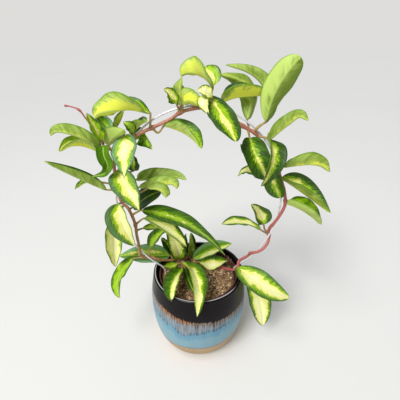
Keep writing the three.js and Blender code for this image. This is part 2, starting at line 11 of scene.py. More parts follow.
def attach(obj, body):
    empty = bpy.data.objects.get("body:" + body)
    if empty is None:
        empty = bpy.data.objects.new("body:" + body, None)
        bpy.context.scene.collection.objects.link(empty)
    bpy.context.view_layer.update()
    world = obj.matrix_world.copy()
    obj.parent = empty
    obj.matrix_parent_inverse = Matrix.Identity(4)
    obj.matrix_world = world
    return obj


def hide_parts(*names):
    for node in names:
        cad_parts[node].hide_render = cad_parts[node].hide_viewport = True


mm = 0.001
fullTurn = 2 * math.pi
capShare = 0.7  # how far a rod's domed end sticks out, as a share of its radius
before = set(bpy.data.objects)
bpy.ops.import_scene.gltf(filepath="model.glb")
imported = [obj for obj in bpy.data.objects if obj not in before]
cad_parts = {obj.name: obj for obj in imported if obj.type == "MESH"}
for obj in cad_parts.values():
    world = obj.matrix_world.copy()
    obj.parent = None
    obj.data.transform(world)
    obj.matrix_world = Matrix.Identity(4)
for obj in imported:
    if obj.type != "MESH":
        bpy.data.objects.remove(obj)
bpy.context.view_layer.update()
print("frame loaded with", len(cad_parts), "nodes")


# Shader helpers


class Value:
    # an output of a shader node; arithmetic with it adds math nodes to the same tree
    def __init__(self, socket):
        self.socket = socket
        self.tree = socket.id_data

    def __add__(self, other):
        return calc("ADD", self, other)

    def __radd__(self, other):
        return calc("ADD", other, self)

    def __sub__(self, other):
        return calc("SUBTRACT", self, other)

    def __rsub__(self, other):
        return calc("SUBTRACT", other, self)

    def __mul__(self, other):
        return calc("MULTIPLY", self, other)

    def __truediv__(self, other):
        return calc("DIVIDE", self, other)

    def __pow__(self, other):
        return calc("POWER", self, other)

    def __abs__(self):
        return calc("ABSOLUTE", self)


def fill(node, sockets):
    # gives each named input of a node a plain value or the output of another node
    for name, value in sockets.items():
        if isinstance(value, Value):
            value.tree.links.new(value.socket, node.inputs[name])
        else:
            node.inputs[name].default_value = value


def setAll(made, settings):
    for name, value in settings.items():
        setattr(made, name, value)
    return made


def put(tree, kind, output, sockets=None, **settings):
    # adds a node and returns one of its outputs
    made = setAll(tree.nodes.new(kind), settings)
    fill(made, sockets or {})
    return Value(made.outputs[output])


def outputsOf(node):
    return {socket.name: Value(socket) for socket in node.outputs}


def calc(operation, first, second=0.0):
    tree = (first if isinstance(first, Value) else second).tree
    return put(tree, "ShaderNodeMath", 0, {0: first, 1: second}, operation=operation)


def fade(value, low, high):
    # 0 below low, 1 above high, and smooth between them
    sockets = {"Value": value, "From Min": low, "From Max": high}
    return put(value.tree, "ShaderNodeMapRange", "Result", sockets, interpolation_type="SMOOTHSTEP")


def mound(value, place, width):
    # 1 at a place and next to nothing twice the width away from it
    away = (value - place) / width
    return calc("EXPONENT", away * away * -1.0)


def blend(share, first, second):
    # the first colour where share is 0 and the second where it is 1
    tree = (share if isinstance(share, Value) else first).tree
    return put(tree, "ShaderNodeMix", 2, {0: share, 6: first, 7: second}, data_type="RGBA")


def speckle(place, scale, detail=2.0, rough=0.5):
    sockets = {"Vector": place, "Scale": scale, "Detail": detail, "Roughness": rough}
    return put(place.tree, "ShaderNodeTexNoise", "Fac", sockets)


def sway(grain, size):
    # turns noise from 0 to 1 into a push of either sign
    return (grain - 0.5) * size


def join(x, y, z):
    return put(x.tree, "ShaderNodeCombineXYZ", "Vector", {"X": x, "Y": y, "Z": z})


def split(vector):
    made = vector.tree.nodes.new("ShaderNodeSeparateXYZ")
    fill(made, {"Vector": vector})
    return outputsOf(made).values()


def carried(tree, name, output="Vector"):
    # a value that the mesh carries at each of its points
    return put(tree, "ShaderNodeAttribute", output, attribute_type="GEOMETRY", attribute_name=name)


def objectPlace(tree):
    return put(tree, "ShaderNodeTexCoord", "Object")


def bump(height, distance):
    return put(height.tree, "ShaderNodeBump", "Normal", {"Height": height, "Distance": distance})


def paint(red, green, blue):
    # screen colour, 0 to 255, as the linear colour that a shader takes
    linear = [((c / 255 + 0.055) / 1.055) ** 2.4 if c > 10 else c / 3295 for c in (red, green, blue)]
    return (*linear, 1.0)


def paints(colours):
    return {name: paint(*colour) for name, colour in colours.items()}


def newMaterial(name):
    material = bpy.data.materials.new(name)
    material.use_nodes = True
    tree = material.node_tree
    return material, tree, tree.nodes["Principled BSDF"]


def newGroup(name, inputs, outputs):
    group = bpy.data.node_groups.new(name, "ShaderNodeTree")
    for label, kind, value in inputs:
        group.interface.new_socket(name=label, in_out="INPUT", socket_type=kind).default_value = value
    for label, kind in outputs:
        group.interface.new_socket(name=label, in_out="OUTPUT", socket_type=kind)
    return group, outputsOf(group.nodes.new("NodeGroupInput")), group.nodes.new("NodeGroupOutput")


def useGroup(tree, group, sockets=None):
    made = tree.nodes.new("ShaderNodeGroup")
    made.node_tree = group
    fill(made, sockets or {})
    return outputsOf(made)


def mottleGroup():
    # grain, wear, dust or cork: noise, and its patches, which are 0 where it is under Low and 1 over High
    inputs = [("Vector", "NodeSocketVector", (0, 0, 0)), ("Scale", "NodeSocketFloat", 500.0),
              ("Detail", "NodeSocketFloat", 2.0), ("Roughness", "NodeSocketFloat", 0.5),
              ("Low", "NodeSocketFloat", 0.0), ("High", "NodeSocketFloat", 1.0)]
    outputs = [("Patches", "NodeSocketFloat"), ("Noise", "NodeSocketFloat")]
    group, given, result = newGroup("mottle", inputs, outputs)
    grain = speckle(given["Vector"], given["Scale"], given["Detail"], given["Roughness"])
    fill(result, {"Patches": fade(grain, given["Low"], given["High"]), "Noise": grain})
    return group


mottle = mottleGroup()


def mottled(place, scale, detail=2.0, rough=0.5, low=0.0, high=1.0):
    # the patches and the noise of one use of the group
    sockets = {"Vector": place, "Scale": scale, "Detail": detail, "Roughness": rough}
    return useGroup(place.tree, mottle, {**sockets, "Low": low, "High": high}).values()


# Mesh helpers


def addPart(skin, points, faces, **values):
    # values are carried by the mesh: one for all points, or a list with one for each
    start = len(skin["points"])
    skin["points"].extend(points)
    skin["faces"].extend(tuple(i + start for i in face) for face in faces)
    for name, value in values.items():
        each = value if isinstance(value, list) else [value] * len(points)
        skin["values"].setdefault(name, []).extend(each)


def newSkin(points=(), faces=(), **values):
    skin = {"points": [], "faces": [], "values": {}}
    if points:
        addPart(skin, points, faces, **values)
    return skin


def addObject(name, data):
    made = bpy.data.objects.new(name, data)
    bpy.context.scene.collection.objects.link(made)
    return made


def makePiece(name, skin, material, nodes):
    mesh = bpy.data.meshes.new(name)
    mesh.from_pydata(skin["points"], [], skin["faces"])
    for key, values in skin["values"].items():
        if isinstance(values[0], tuple):
            layer = mesh.attributes.new(key, "FLOAT_VECTOR", "POINT")
            layer.data.foreach_set("vector", [part for value in values for part in value])
        else:
            mesh.attributes.new(key, "FLOAT", "POINT").data.foreach_set("value", values)
    mesh.shade_smooth()
    mesh.materials.append(material)
    piece = addObject(name, mesh)
    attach(piece, "root")
    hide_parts(*nodes)


def curvePoint(row, share):
    # a place on the centripetal Catmull-Rom curve through the points of a row
    place = share * (len(row) - 1)
    i = min(int(place), len(row) - 2)
    t = place - i
    b, c = row[i], row[i + 1]
    a = row[i - 1] if i else 2 * b - c
    d = row[i + 2] if i + 2 < len(row) else 2 * c - b
    before, over, after = ((q - p).length ** 0.5 for p, q in ((a, b), (b, c), (c, d)))
    leave = ((b - a) / before - (c - a) / (before + over) + (c - b) / over) * over
    arrive = ((c - b) / over - (d - b) / (over + after) + (d - c) / after) * over
    return b + leave * t + (3 * (c - b) - 2 * leave - arrive) * t**2 + (2 * (b - c) + leave + arrive) * t**3


def smoothPath(points, perSpan):
    # a smooth curve through points given in mm, with perSpan steps from each to the next, in metres
    row = [Vector(p) * mm for p in points]
    steps = perSpan * (len(row) - 1)
    return [curvePoint(row, i / steps) for i in range(steps + 1)]


def smoothProfile(points, perSpan):
    return [(p.x, p.y) for p in smoothPath([(r, z, 0) for r, z in points], perSpan)]


def around(count):
    # the cosine and sine of each of the equal steps of a full turn
    return [(math.cos(fullTurn * j / count), math.sin(fullTurn * j / count)) for j in range(count)]


def ringFaces(rings, segments):
    # faces over rings of points, from one closing point before them to another after them
    faces = []
    last = 1 + (rings - 1) * segments
    for j in range(segments):
        k = (j + 1) % segments
        faces.append((0, 1 + k, 1 + j))
        for i in range(rings - 1):
            a, b = 1 + i * segments + j, 1 + i * segments + k
            faces.append((a, b, b + segments, a + segments))
        faces.append((last + j, last + k, last + segments))
    return faces


def tube(path, radii, sides):
    # a round rod with domed ends, whose rings are carried along the path without turning
    end = len(path) - 1
    tangents = [(path[min(i + 1, end)] - path[max(i - 1, 0)]).normalized() for i in range(len(path))]
    normal = tangents[0].orthogonal().normalized()
    points = [path[0] - tangents[0] * radii[0] * capShare]
    for i, (centre, along, radius) in enumerate(zip(path, tangents, radii)):
        if i:
            normal = tangents[i - 1].rotation_difference(along) @ normal
            normal = (normal - along * normal.dot(along)).normalized()
        other = along.cross(normal)
        points += [centre + (normal * cos + other * sin) * radius for cos, sin in around(sides)]
    points.append(path[-1] + tangents[-1] * radii[-1] * capShare)
    return points, ringFaces(len(path), sides)


def turned(profile, segments):
    # a closed form turned round Z; the profile runs from the axis under the piece to the axis above it
    points = [Vector((0, 0, profile[0][1]))]
    for radius, height in profile[1:-1]:
        points += [Vector((radius * cos, radius * sin, height)) for cos, sin in around(segments)]
    points.append(Vector((0, 0, profile[-1][1])))
    return points, ringFaces(len(profile) - 2, segments)


# Camera, light and floor

studio = {
    "cameraPlace": (0.00235, -0.3192, 0.4080),
    "cameraTilt": 60.2,
    "cameraLens": 27.9,
    "floorColour": (226, 225, 222),
    "floorShade": 0.96,  # the darker clouds of the floor, as a share of its colour
    "floorClouds": {"scale": 3.0},
    "floorReach": 6.0,
    "floorRoughness": 0.7,
    "skyColour": (238, 240, 243),
    "skyStrength": 0.5,
    "sunTurn": (34, -28, 0),  # degrees from straight down
    "sunStrength": 2.5,
    "sunAngle": 24,
    "keyPlace": (-0.35, -0.3, 1.1),
    "keyTarget": (0, 0, 0.2),
    "keySize": 0.35,
    "keyPower": 3.0,
    "horizonColour": (222, 221, 219),
}


def buildCamera():
    camera = addObject("camera", bpy.data.cameras.new("camera"))
    camera.location = studio["cameraPlace"]
    camera.rotation_euler = (math.radians(studio["cameraTilt"]), 0, 0)
    camera.data.lens = studio["cameraLens"]
    camera.data.sensor_width = 36
    bpy.context.scene.camera = camera
    bpy.context.scene.view_settings.view_transform = "Standard"
    print("camera made")


def addLamp(name, kind, **settings):
    return addObject(name, setAll(bpy.data.lights.new(name, kind), settings))


def buildLights():
    key = addLamp("key", "AREA", shape="DISK", size=studio["keySize"], energy=studio["keyPower"])
    key.location = studio["keyPlace"]
    key.rotation_euler = (Vector(studio["keyTarget"]) - key.location).to_track_quat("-Z", "Y").to_euler()
    sun = addLamp("sun", "SUN", energy=studio["sunStrength"], angle=math.radians(studio["sunAngle"]))
    sun.rotation_euler = [math.radians(turn) for turn in studio["sunTurn"]]
    print("lamps made")


def buildSky():
    # the camera sees a sky as bright as the floor; everything else is lit by a softer one
    world = bpy.data.worlds.new("world")
    world.use_nodes = True
    tree = world.node_tree
    lit = tree.nodes["Background"]
    fill(lit, {"Color": paint(*studio["skyColour"]), "Strength": studio["skyStrength"]})
    seen = put(tree, "ShaderNodeBackground", 0, {"Color": paint(*studio["horizonColour"])})
    toCamera = put(tree, "ShaderNodeLightPath", "Is Camera Ray")
    sky = put(tree, "ShaderNodeMixShader", 0, {0: toCamera, 1: Value(lit.outputs[0]), 2: seen})
    fill(tree.nodes["World Output"], {"Surface": sky})
    bpy.context.scene.world = world
    print("sky made")


def buildFloor():
    mesh = bpy.data.meshes.new("floor")
    reach = studio["floorReach"]
    corners = [(-reach, -reach, 0), (reach, -reach, 0), (reach, reach, 0), (-reach, reach, 0)]
    mesh.from_pydata(corners, [], [(0, 1, 2, 3)])
    material, tree, shader = newMaterial("floorPaint")
    _, cloud = mottled(objectPlace(tree), **studio["floorClouds"])
    base = paint(*studio["floorColour"])
    shade = (*(c * studio["floorShade"] for c in base[:3]), 1.0)
    fill(shader, {
        "Base Color": blend(cloud, base, shade),
        "Roughness": studio["floorRoughness"],
    })
    mesh.materials.append(material)
    floor = addObject("floor", mesh)
    print("floor made")


# Cover pot

pot = {
    "height": 118,
    "rimRadius": 60.5,
    "mouthRadius": 55.5,
    "floorHeight": 6,
    "floorRadius": 30,
    "outside": [(46, 1.5), (53.5, 11), (59.5, 25), (63.5, 44), (65, 68), (64, 92), (60.5, 115)],
    "inside": [(55.5, 115), (60, 68), (54.5, 25), (42, 6)],
    "segments": 144,
    "stepsPerSpan": 10,
    "combScale": 900.0,  # fineness of the teeth and of the wider runs
    "runsScale": 230.0,
    "clouds": {"scale": 22.0, "low": 0.2, "high": 0.6},
    "grain": {"scale": 700.0, "detail": 3.0, "rough": 0.6, "low": 0.35, "high": 0.65},
    "lipHighlightLine": 58.0,  # how far out on the lip a painted highlight runs, and where it ends at the right
    "lipHighlightEnd": 50.0,
    "blackFoot": 88,  # heights, in mm, of the lower edge of each band of glaze in the middle of the front
    "blackSlope": -0.09,  # how far each edge rises towards the right, as a share
    "blackRise": 3,  # how much higher than in front each edge is at the sides, in mm
    "blackTeeth": 10.0,  # how long the teeth of each edge are, in mm
    "rustTeeth": 16.0,
    "rustBand": 8.5,  # how far under the black its rusty fringe reaches, in mm
    "rustPlace": -28,  # where the fringe under the black is most orange, and how wide that is, in mm
    "rustWidth": 24,
    "runsFoot": 71,
    "runsSlope": 0.01,
    "runsRise": 6,
    "runsTeeth": 15.0,
    "blueFoot": 34,
    "blueSlope": 0.09,
    "blueRim": 3.5,  # how wide the dark line along the lower edge of the blue is, in mm
    "dipPlace": -18,  # where the runs hang lowest, how wide that is and how far down they go, in mm
    "dipWidth": 11,
    "dipDepth": 9,
    "colours": {
        "black": (19, 15, 16),
        "rust": (160, 102, 40),
        "brown": (132, 112, 94),
        "soot": (62, 46, 36),
        "ash": (142, 144, 146),
        "streak": (92, 88, 88),
        "drip": (44, 60, 72),
        "blue": (126, 162, 174),
        "deepBlue": (86, 138, 166),
        # the colour of the highlight painted along the lip
        "lip": (196, 196, 198),
        "clay": (186, 160, 126),
        "clayShade": (128, 102, 80),
    },
}


def glazeMaterial():
    material, tree, shader = newMaterial("glazedStoneware")
    tones = paints(pot["colours"])
    place = objectPlace(tree)
    x, y, z = split(place)
    sideways, height = x * 1000.0, z * 1000.0

    # streaks run straight down: noise that changes quickly round the pot and slowly with height
    upright = join(x, y, z * 0.05)
    comb = speckle(upright, pot["combScale"], 1.0)
    runs = speckle(upright, pot["runsScale"], 2.0, 0.6)
    clear, slow = mottled(place, **pot["clouds"])
    sandy, fine = mottled(place, **pot["grain"])
    wavy = height + sway(slow, 7.0)
    flank = sideways / pot["rimRadius"]
    flank = flank * flank

    def leant(slope, rise):
        return wavy - (sideways * slope + flank * rise)

    tilted = leant(pot["blackSlope"], pot["blackRise"])
    dip = mound(sideways, pot["dipPlace"], pot["dipWidth"]) * pot["dipDepth"]
    blackEdge = tilted + (sway(comb, pot["blackTeeth"]) + sway(fine, 2.5))
    rustEdge = tilted + (sway(comb, pot["rustTeeth"]) + sway(runs, 6.0))
    runsEdge = leant(pot["runsSlope"], pot["runsRise"]) + dip
    runsEdge = runsEdge + (sway(comb, pot["runsTeeth"]) + sway(runs, 14.0))
    blueEdge = height - sideways * pot["blueSlope"] + (sway(slow, 12.0) + sway(fine, 2.5))
    black = fade(blackEdge, pot["blackFoot"] - 0.8, pot["blackFoot"] + 0.8)
    rust = fade(rustEdge, pot["blackFoot"] - pot["rustBand"], pot["blackFoot"] - 3.0)
    ash = fade(runsEdge, pot["runsFoot"] - 3.0, pot["runsFoot"] + 4.0)
    deep = fade(runsEdge, pot["runsFoot"] - 16.0, pot["runsFoot"] - 9.0)
    blue = fade(blueEdge, pot["blueFoot"] - 0.6, pot["blueFoot"] + 0.6)

    # bare clay at the foot, blue above it, then ash grey runs with dark drips, rust and black
    clay = blend(sandy, tones["clayShade"], tones["clay"])
    clay = blend(clear, clay, tones["clay"])
    cloudy = deep * 0.55 + sway(speckle(upright, 90.0, 3.0, 0.6), 0.9)
    sea = blend(cloudy, tones["blue"], tones["deepBlue"])
    seaRim = fade(abs(blueEdge - pot["blueFoot"]), pot["blueRim"], 0.0)
    sea = blend(seaRim * 0.75, sea, tones["clayShade"])
    streaks = blend(fade(comb, 0.44, 0.62) * 0.75, tones["ash"], tones["streak"])
    drip = ash * (1.0 - ash) * 3.2 * fade(comb, 0.42, 0.58)
    colour = blend(blue, clay, sea)
    colour = blend(ash * 0.8, colour, streaks)
    colour = blend(drip, colour, tones["drip"])
    orange = mound(sideways, pot["rustPlace"], pot["rustWidth"]) + sway(speckle(place, 60.0, 1.0), 0.8)
    rusty = blend(fade(orange, 0.2, 0.8), tones["brown"], tones["rust"])
    rusty = blend(fade(comb, 0.46, 0.58) * 0.8, rusty, tones["soot"])
    colour = blend(rust * 0.85, colour, rusty)
    colour = blend(black, colour, tones["black"])
    # a thin pale line along the lip is a painted highlight, the bright sky reflected on the glossy rim; it is
    # patchy and fades out to the right
    fromHighlightLine = abs(calc("SQRT", x * x + y * y) * 1000.0 - pot["lipHighlightLine"])
    lip = fade(fromHighlightLine, 0.9, 0.4) * fade(height, pot["height"] - 2.5, pot["height"] - 1.0)
    lip = lip * fade(slow, 0.28, 0.42) * fade(sideways, pot["lipHighlightEnd"], pot["lipHighlightEnd"] - 12.0)
    relief = blue + black * 0.5 + sway(fine, 0.12) + sway(slow, 0.5)
    fill(shader, {
        "Base Color": blend(lip * 0.7, colour, tones["lip"]),
        "Roughness": 0.85 - blue * 0.5 - black * 0.08 + sway(fine, 0.08),
        "Specular IOR Level": 0.08,
        "Coat Weight": blue * 0.09,
        "Coat Roughness": 0.08,
        "Normal": bump(relief, 0.0004),
    })
    return material


def buildPot():
    rim = (pot["rimRadius"] + pot["mouthRadius"]) / 2
    top = pot["height"]
    lip = [(pot["rimRadius"], top - 3), (rim + 2.1, top - 1.1), (rim + 0.9, top - 0.15),
           (rim - 0.9, top - 0.15), (rim - 2.1, top - 1.1), (pot["mouthRadius"], top - 3)]
    foot = pot["outside"][0][0] * mm
    profile = [(0, 0.0), (foot - 2.2 * mm, 0.0), (foot - 1.0 * mm, 0.2 * mm), (foot - 0.2 * mm, 0.8 * mm)]
    profile += smoothProfile(pot["outside"], pot["stepsPerSpan"])
    profile += smoothProfile(lip, 4)[1:-1]
    profile += smoothProfile(pot["inside"], pot["stepsPerSpan"])
    profile += [(pot["floorRadius"] * mm, pot["floorHeight"] * mm), (0, pot["floorHeight"] * mm)]
    skin = newSkin(*turned(profile, pot["segments"]))
    makePiece("coverPot", skin, glazeMaterial(), ["cover_pot"])
    print("cover pot made")


# Nursery pot, the plastic lining

liner = {
    "top": 113.5,
    "topRadius": 52.5,
    "footRadius": 38,
    "foot": 6.3,
    "wall": 1.2,
    "band": 12,
    "segments": 120,
    "dust": {"scale": 160.0, "detail": 4.0, "rough": 0.65, "low": 0.35, "high": 0.7},
    "grain": {"scale": 900.0},
    "colours": {"plastic": (96, 50, 38), "shade": (48, 30, 24)},
}


def linerMaterial():
    material, tree, shader = newMaterial("brownPlastic")
    tones = paints(liner["colours"])
    place = objectPlace(tree)
    dusty, dust = mottled(place, **liner["dust"])
    _, grain = mottled(place, **liner["grain"])
    fill(shader, {
        "Base Color": blend(dusty, tones["plastic"], tones["shade"]),
        "Roughness": 0.4 + dust * 0.3,
        "Normal": bump(grain, 0.0001),
    })
    return material


def buildLiner():
    top, radius, wall, foot = liner["top"], liner["topRadius"], liner["wall"], liner["foot"]
    inner, footRadius = radius - wall, liner["footRadius"]
    bandFoot = top - liner["band"]
    outside = [(0, foot), (footRadius - 1, foot), (footRadius, foot + 2), (inner - 0.8, bandFoot),
               (radius, bandFoot + 1), (radius, top - 1.6)]
    lip = [(radius + 0.5, top - 1.2), (radius + 0.6, top - 0.5), (radius + 0.1, top - 0.1),
           (radius - 0.6, top), (inner - 0.1, top - 0.3), (inner - 0.2, top - 1.6)]
    inside = [(inner - 2, bandFoot - 1), (footRadius - wall, foot + 2 + wall),
              (footRadius - 2 * wall, foot + wall), (0, foot + wall)]
    profile = [(r * mm, z * mm) for r, z in outside + lip + inside]
    skin = newSkin(*turned(profile, liner["segments"]))
    makePiece("nurseryPot", skin, linerMaterial(), ["nursery_pot"])
    print("nursery pot made")


# Soil

soil = {
    "top": 108.4,
    "radius": 49.4,
    "footRadius": 44.5,
    "foot": 60,
    "rings": 44,
    "segments": 132,
    "lump": 2.2,
    "sag": 1.6,  # how much lower the soil is at its edge than in the middle
    "flakes": 1500,  # bits of bark, their least and greatest size in mm, and how far they are stretched
    "flakeSize": (0.7, 2.1),
    "flakeStretch": ((0.9, 2.2), (0.4, 0.8), (0.2, 0.5)),
    "perlite": 70,
    "perliteSize": (0.5, 1.4),
    "fibres": 380,
    "fibreThickness": (0.12, 0.3),
    "tuft": 90,  # dry roots that stick up in a tuft, and where it is in mm
    "tuftThickness": (0.18, 0.32),
    "tuftPlace": (44, 20),
    "tuftSpread": 10,
    "fibreSides": 5,
    "grain": {"scale": 420.0, "detail": 5.0, "rough": 0.7},
    "seed": 11,
    "colours": {
        "dark": (54, 40, 29),
        "brown": (142, 108, 74),
        "tan": (212, 180, 136),
        "white": (232, 224, 208),
    },
}


def soilHeight(x, y):
    # height of the crumbly surface, in metres, at a place in metres
    far = math.hypot(x, y) / (soil["radius"] * mm)
    lumps = noise.fractal(Vector((x, y, 0)) * 90, 0.8, 2.1, 4) * soil["lump"] * 0.6
    return (soil["top"] - soil["sag"] * far**6 + lumps) * mm


def soilMaterial():
    material, tree, shader = newMaterial("pottingSoil")
    tones = paints(soil["colours"])
    tone = carried(tree, "bitTone", "Fac")
    _, grain = mottled(objectPlace(tree), **soil["grain"])
    shade = tone + sway(grain, 0.5)
    colour = blend(fade(shade, 0.0, 0.45), tones["dark"], tones["brown"])
    colour = blend(fade(shade, 0.45, 0.85), colour, tones["tan"])
    colour = blend(fade(tone, 0.92, 0.98), colour, tones["white"])
    fill(shader, {"Base Color": colour, "Roughness": 0.95, "Normal": bump(grain, 0.0006)})
    return material


def buildSoilBed(material):
    segments, rings = soil["segments"], soil["rings"]
    points = [Vector((0, 0, soilHeight(0, 0)))]
    for i in range(1, rings + 1):
        radius = soil["radius"] * mm * i / rings
        for cos, sin in around(segments):
            x, y = radius * cos, radius * sin
            points.append(Vector((x, y, soilHeight(x, y))))
    radius, foot = soil["footRadius"], soil["foot"]
    points += [Vector((radius * cos, radius * sin, foot)) * mm for cos, sin in around(segments)]
    points.append(Vector((0, 0, foot * mm)))
    faces = [(face[0], *face[:0:-1]) for face in ringFaces(rings + 1, segments)]  # the top comes first
    skin = newSkin(points, faces, bitTone=[0.28 + 0.3 * noise.noise(p * 400) for p in points])
    makePiece("soilBed", skin, material, ["soil"])


def somewhere(rand, reach):
    far, angle = reach * math.sqrt(rand.random()), rand.uniform(0, fullTurn)
    return far * math.cos(angle), far * math.sin(angle)


def crumb(centre, size, squash, turn, rand):
    # one irregular bit: an octahedron-like ball of few faces, squashed and turned
    ball = [(0, 0, 1), (0, 0, -1)]
    ball += [(math.cos(a), math.sin(a), 0.45) for a in (0, 1.26, 2.51, 3.77, 5.03)]
    ball += [(math.cos(a), math.sin(a), -0.45) for a in (0.63, 1.88, 3.14, 4.4, 5.65)]
    stretch = Matrix.Diagonal(Vector(squash) * size)
    points = []
    for corner in ball:
        wobble = 1 + rand.uniform(-0.25, 0.25)
        points.append(centre + turn @ (stretch @ (Vector(corner) * wobble)))
    faces = []
    for i in range(5):
        k = (i + 1) % 5
        faces += [(0, 2 + i, 2 + k), (1, 7 + k, 7 + i), (2 + i, 7 + i, 2 + k), (2 + k, 7 + i, 7 + k)]
    return points, faces


def buildCrumbs(material, rand):
    skin = newSkin()
    for i in range(soil["flakes"] + soil["perlite"]):
        white = i >= soil["flakes"]
        x, y = somewhere(rand, (soil["radius"] - 2.5) * mm)
        size = rand.uniform(*soil["perliteSize" if white else "flakeSize"]) * mm
        squash = (1, 0.85, 0.7) if white else [rand.uniform(*reach) for reach in soil["flakeStretch"]]
        spin, tip = rand.uniform(0, 6.3), rand.uniform(-0.6, 0.6)
        turn = Matrix.Rotation(spin, 3, "Z") @ Matrix.Rotation(tip, 3, "X")
        centre = Vector((x, y, soilHeight(x, y) + size * 0.25))
        tone = 1.0 if white else min(0.9, max(0.05, rand.gauss(0.5, 0.26)))
        addPart(skin, *crumb(centre, size, squash, turn, rand), bitTone=tone)
    makePiece("soilCrumbs", skin, material, ["soil"])


def addHair(skin, row, thickness, tones, rand):
    path = smoothPath(row, 3)
    hair = tube(path, [rand.uniform(*thickness) * mm] * len(path), soil["fibreSides"])
    addPart(skin, *hair, bitTone=rand.uniform(*tones))


def addFibres(skin, rand):
    # roots that lie on the soil
    for _ in range(soil["fibres"]):
        x, y = somewhere(rand, (soil["radius"] - 5) * mm)
        heading, bend = rand.uniform(0, fullTurn), rand.uniform(-0.5, 0.5)
        step = rand.uniform(0.8, 2.0) * mm
        row = []
        for _ in range(5):
            row.append((x / mm, y / mm, soilHeight(x, y) / mm + rand.uniform(0.2, 0.9)))
            x, y = x + step * math.cos(heading), y + step * math.sin(heading)
            heading += bend
        if max(math.hypot(p[0], p[1]) for p in row) <= soil["radius"] - 2:
            addHair(skin, row, soil["fibreThickness"], (0.3, 0.85), rand)


def addTuft(skin, rand):
    # roots that stick up and wander a little with each step
    for _ in range(soil["tuft"]):
        x, y = (centre + rand.gauss(0, 0.35) * soil["tuftSpread"] for centre in soil["tuftPlace"])
        lean = Vector((rand.uniform(-0.8, 0.4), rand.uniform(-0.6, 0.6), 1)).normalized()
        row = [Vector((x, y, soilHeight(x * mm, y * mm) / mm))]
        for _ in range(4):
            nudge = Vector((rand.gauss(0, 0.35), rand.gauss(0, 0.35), rand.gauss(-0.05, 0.3)))
            lean = (lean + nudge).normalized()
            row.append(row[-1] + lean * rand.uniform(2.2, 4.6))
        widest = max(math.hypot(p.x, p.y) for p in row)
        if math.hypot(x, y) <= soil["radius"] - 1 and widest <= pot["mouthRadius"] - 1:
            addHair(skin, row, soil["tuftThickness"], (0.3, 0.65), rand)


def buildSoil():
    rand = random.Random(soil["seed"])
    material = soilMaterial()
    buildSoilBed(material)
    buildCrumbs(material, rand)
    fibres = newSkin()
    addFibres(fibres, rand)
    addTuft(fibres, rand)
    makePiece("soilFibres", fibres, material, ["soil"])
    print("soil made")


# Wire hoop

hoop = {
    "radius": 1.1,
    "halfWidth": 99,
    "halfHeight": 116,
    "centre": (0.8, 4.8, 218),
    "footHeight": 122,
    "legs": [(50, 117), (46, 108), (42, 84), (38, 60)],
    "arcSteps": 40,
    "stepsPerSpan": 6,
    "sides": 16,
    "wear": {"scale": 260.0, "detail": 3.0, "rough": 0.6, "low": 0.4, "high": 0.75},
    "grain": {"scale": 1200.0},
    "colours": {"bright": (236, 236, 238), "dull": (176, 176, 180)},
}


def wireMaterial():
    material, tree, shader = newMaterial("brightWire")
    tones = paints(hoop["colours"])
    place = objectPlace(tree)
    worn, _ = mottled(place, **hoop["wear"])
    _, grain = mottled(place, **hoop["grain"])
    fill(shader, {
        "Base Color": blend(worn, tones["bright"], tones["dull"]),
        "Metallic": 0.35,
        "Roughness": 0.24 + worn * 0.2,
        "Normal": bump(grain, 0.00005),
    })
    return material


def buildHoop():
    cx, cy, cz = hoop["centre"]
    wide, tall, steps = hoop["halfWidth"], hoop["halfHeight"], hoop["arcSteps"]
    start = math.asin((hoop["footHeight"] - cz) / tall)
    arc = []
    for i in range(steps + 1):
        angle = start + (math.pi - 2 * start) * i / steps
        arc.append((cx + wide * math.cos(angle), cy, cz + tall * math.sin(angle)))
    right = [(cx + x, cy, z) for x, z in reversed(hoop["legs"])]
    left = [(cx - x, cy, z) for x, z in hoop["legs"]]
    path = smoothPath([*right, *arc, *left], hoop["stepsPerSpan"])
    skin = newSkin(*tube(path, [hoop["radius"] * mm] * len(path), hoop["sides"]))
    makePiece("wireHoop", skin, wireMaterial(), ["hoop"])
    print("wire hoop made")


# Stems

stem = {
    "radius": 1.9,
    "shootRadius": 1.2,
    "sides": 14,
    "stepsPerSpan": 6,
    "swell": 0.45,  # how much thicker a node is, on the young shoot too, and how far that reaches in mm
    "shootSwell": 0.8,
    "swellReach": 2.6,
    "uneven": 0.07,
    "bark": {"scale": 260.0, "detail": 3.0, "rough": 0.6, "low": 0.35, "high": 0.7},
    "cork": {"scale": 900.0, "detail": 3.0, "rough": 0.7, "low": 0.62, "high": 0.72},
    "colours": {
        "tan": (182, 140, 94),
        "bark": (140, 102, 66),
        "pink": (172, 88, 84),
        "olive": (140, 142, 58),
        "dry": (206, 184, 148),
    },
}

leftRoot = (-26, 27, 88)
leftVine = [
    (-28, 25, 111), (-35, 21, 115), (-42, 17, 118), (-50, 12, 123), (-57, 9, 127), (-63, 9, 130),
    (-69, 8, 131), (-73, 5, 135), (-77, 2, 140), (-77, 1, 148), (-77, 0, 160), (-78, 0, 175),
    (-78, 0, 189), (-81, 0, 204), (-85, 0, 215), (-90, 1, 220), (-93, 1, 228), (-94, 1, 240),
    (-94, 0.7, 252), (-94, 1, 266), (-92, 1, 277), (-88, 1, 287), (-78, 1, 297), (-66, 0.7, 303),
    (-57, 1, 308), (-48, 1, 312), (-37, 1, 317), (-28, 1, 321), (-18, 1, 328), (-8, 1, 331),
    (6, 0.7, 333), (16, 0.7, 332), (25, 2, 328), (36, 2, 321), (47, 1, 314), (54, 1, 310),
    (60, 1, 307), (65, 1, 302),
]
leftKnots = [0, 6, 12, 18, 22, 25, 28, 34, 36]
rightRoot = (28, 12, 88)
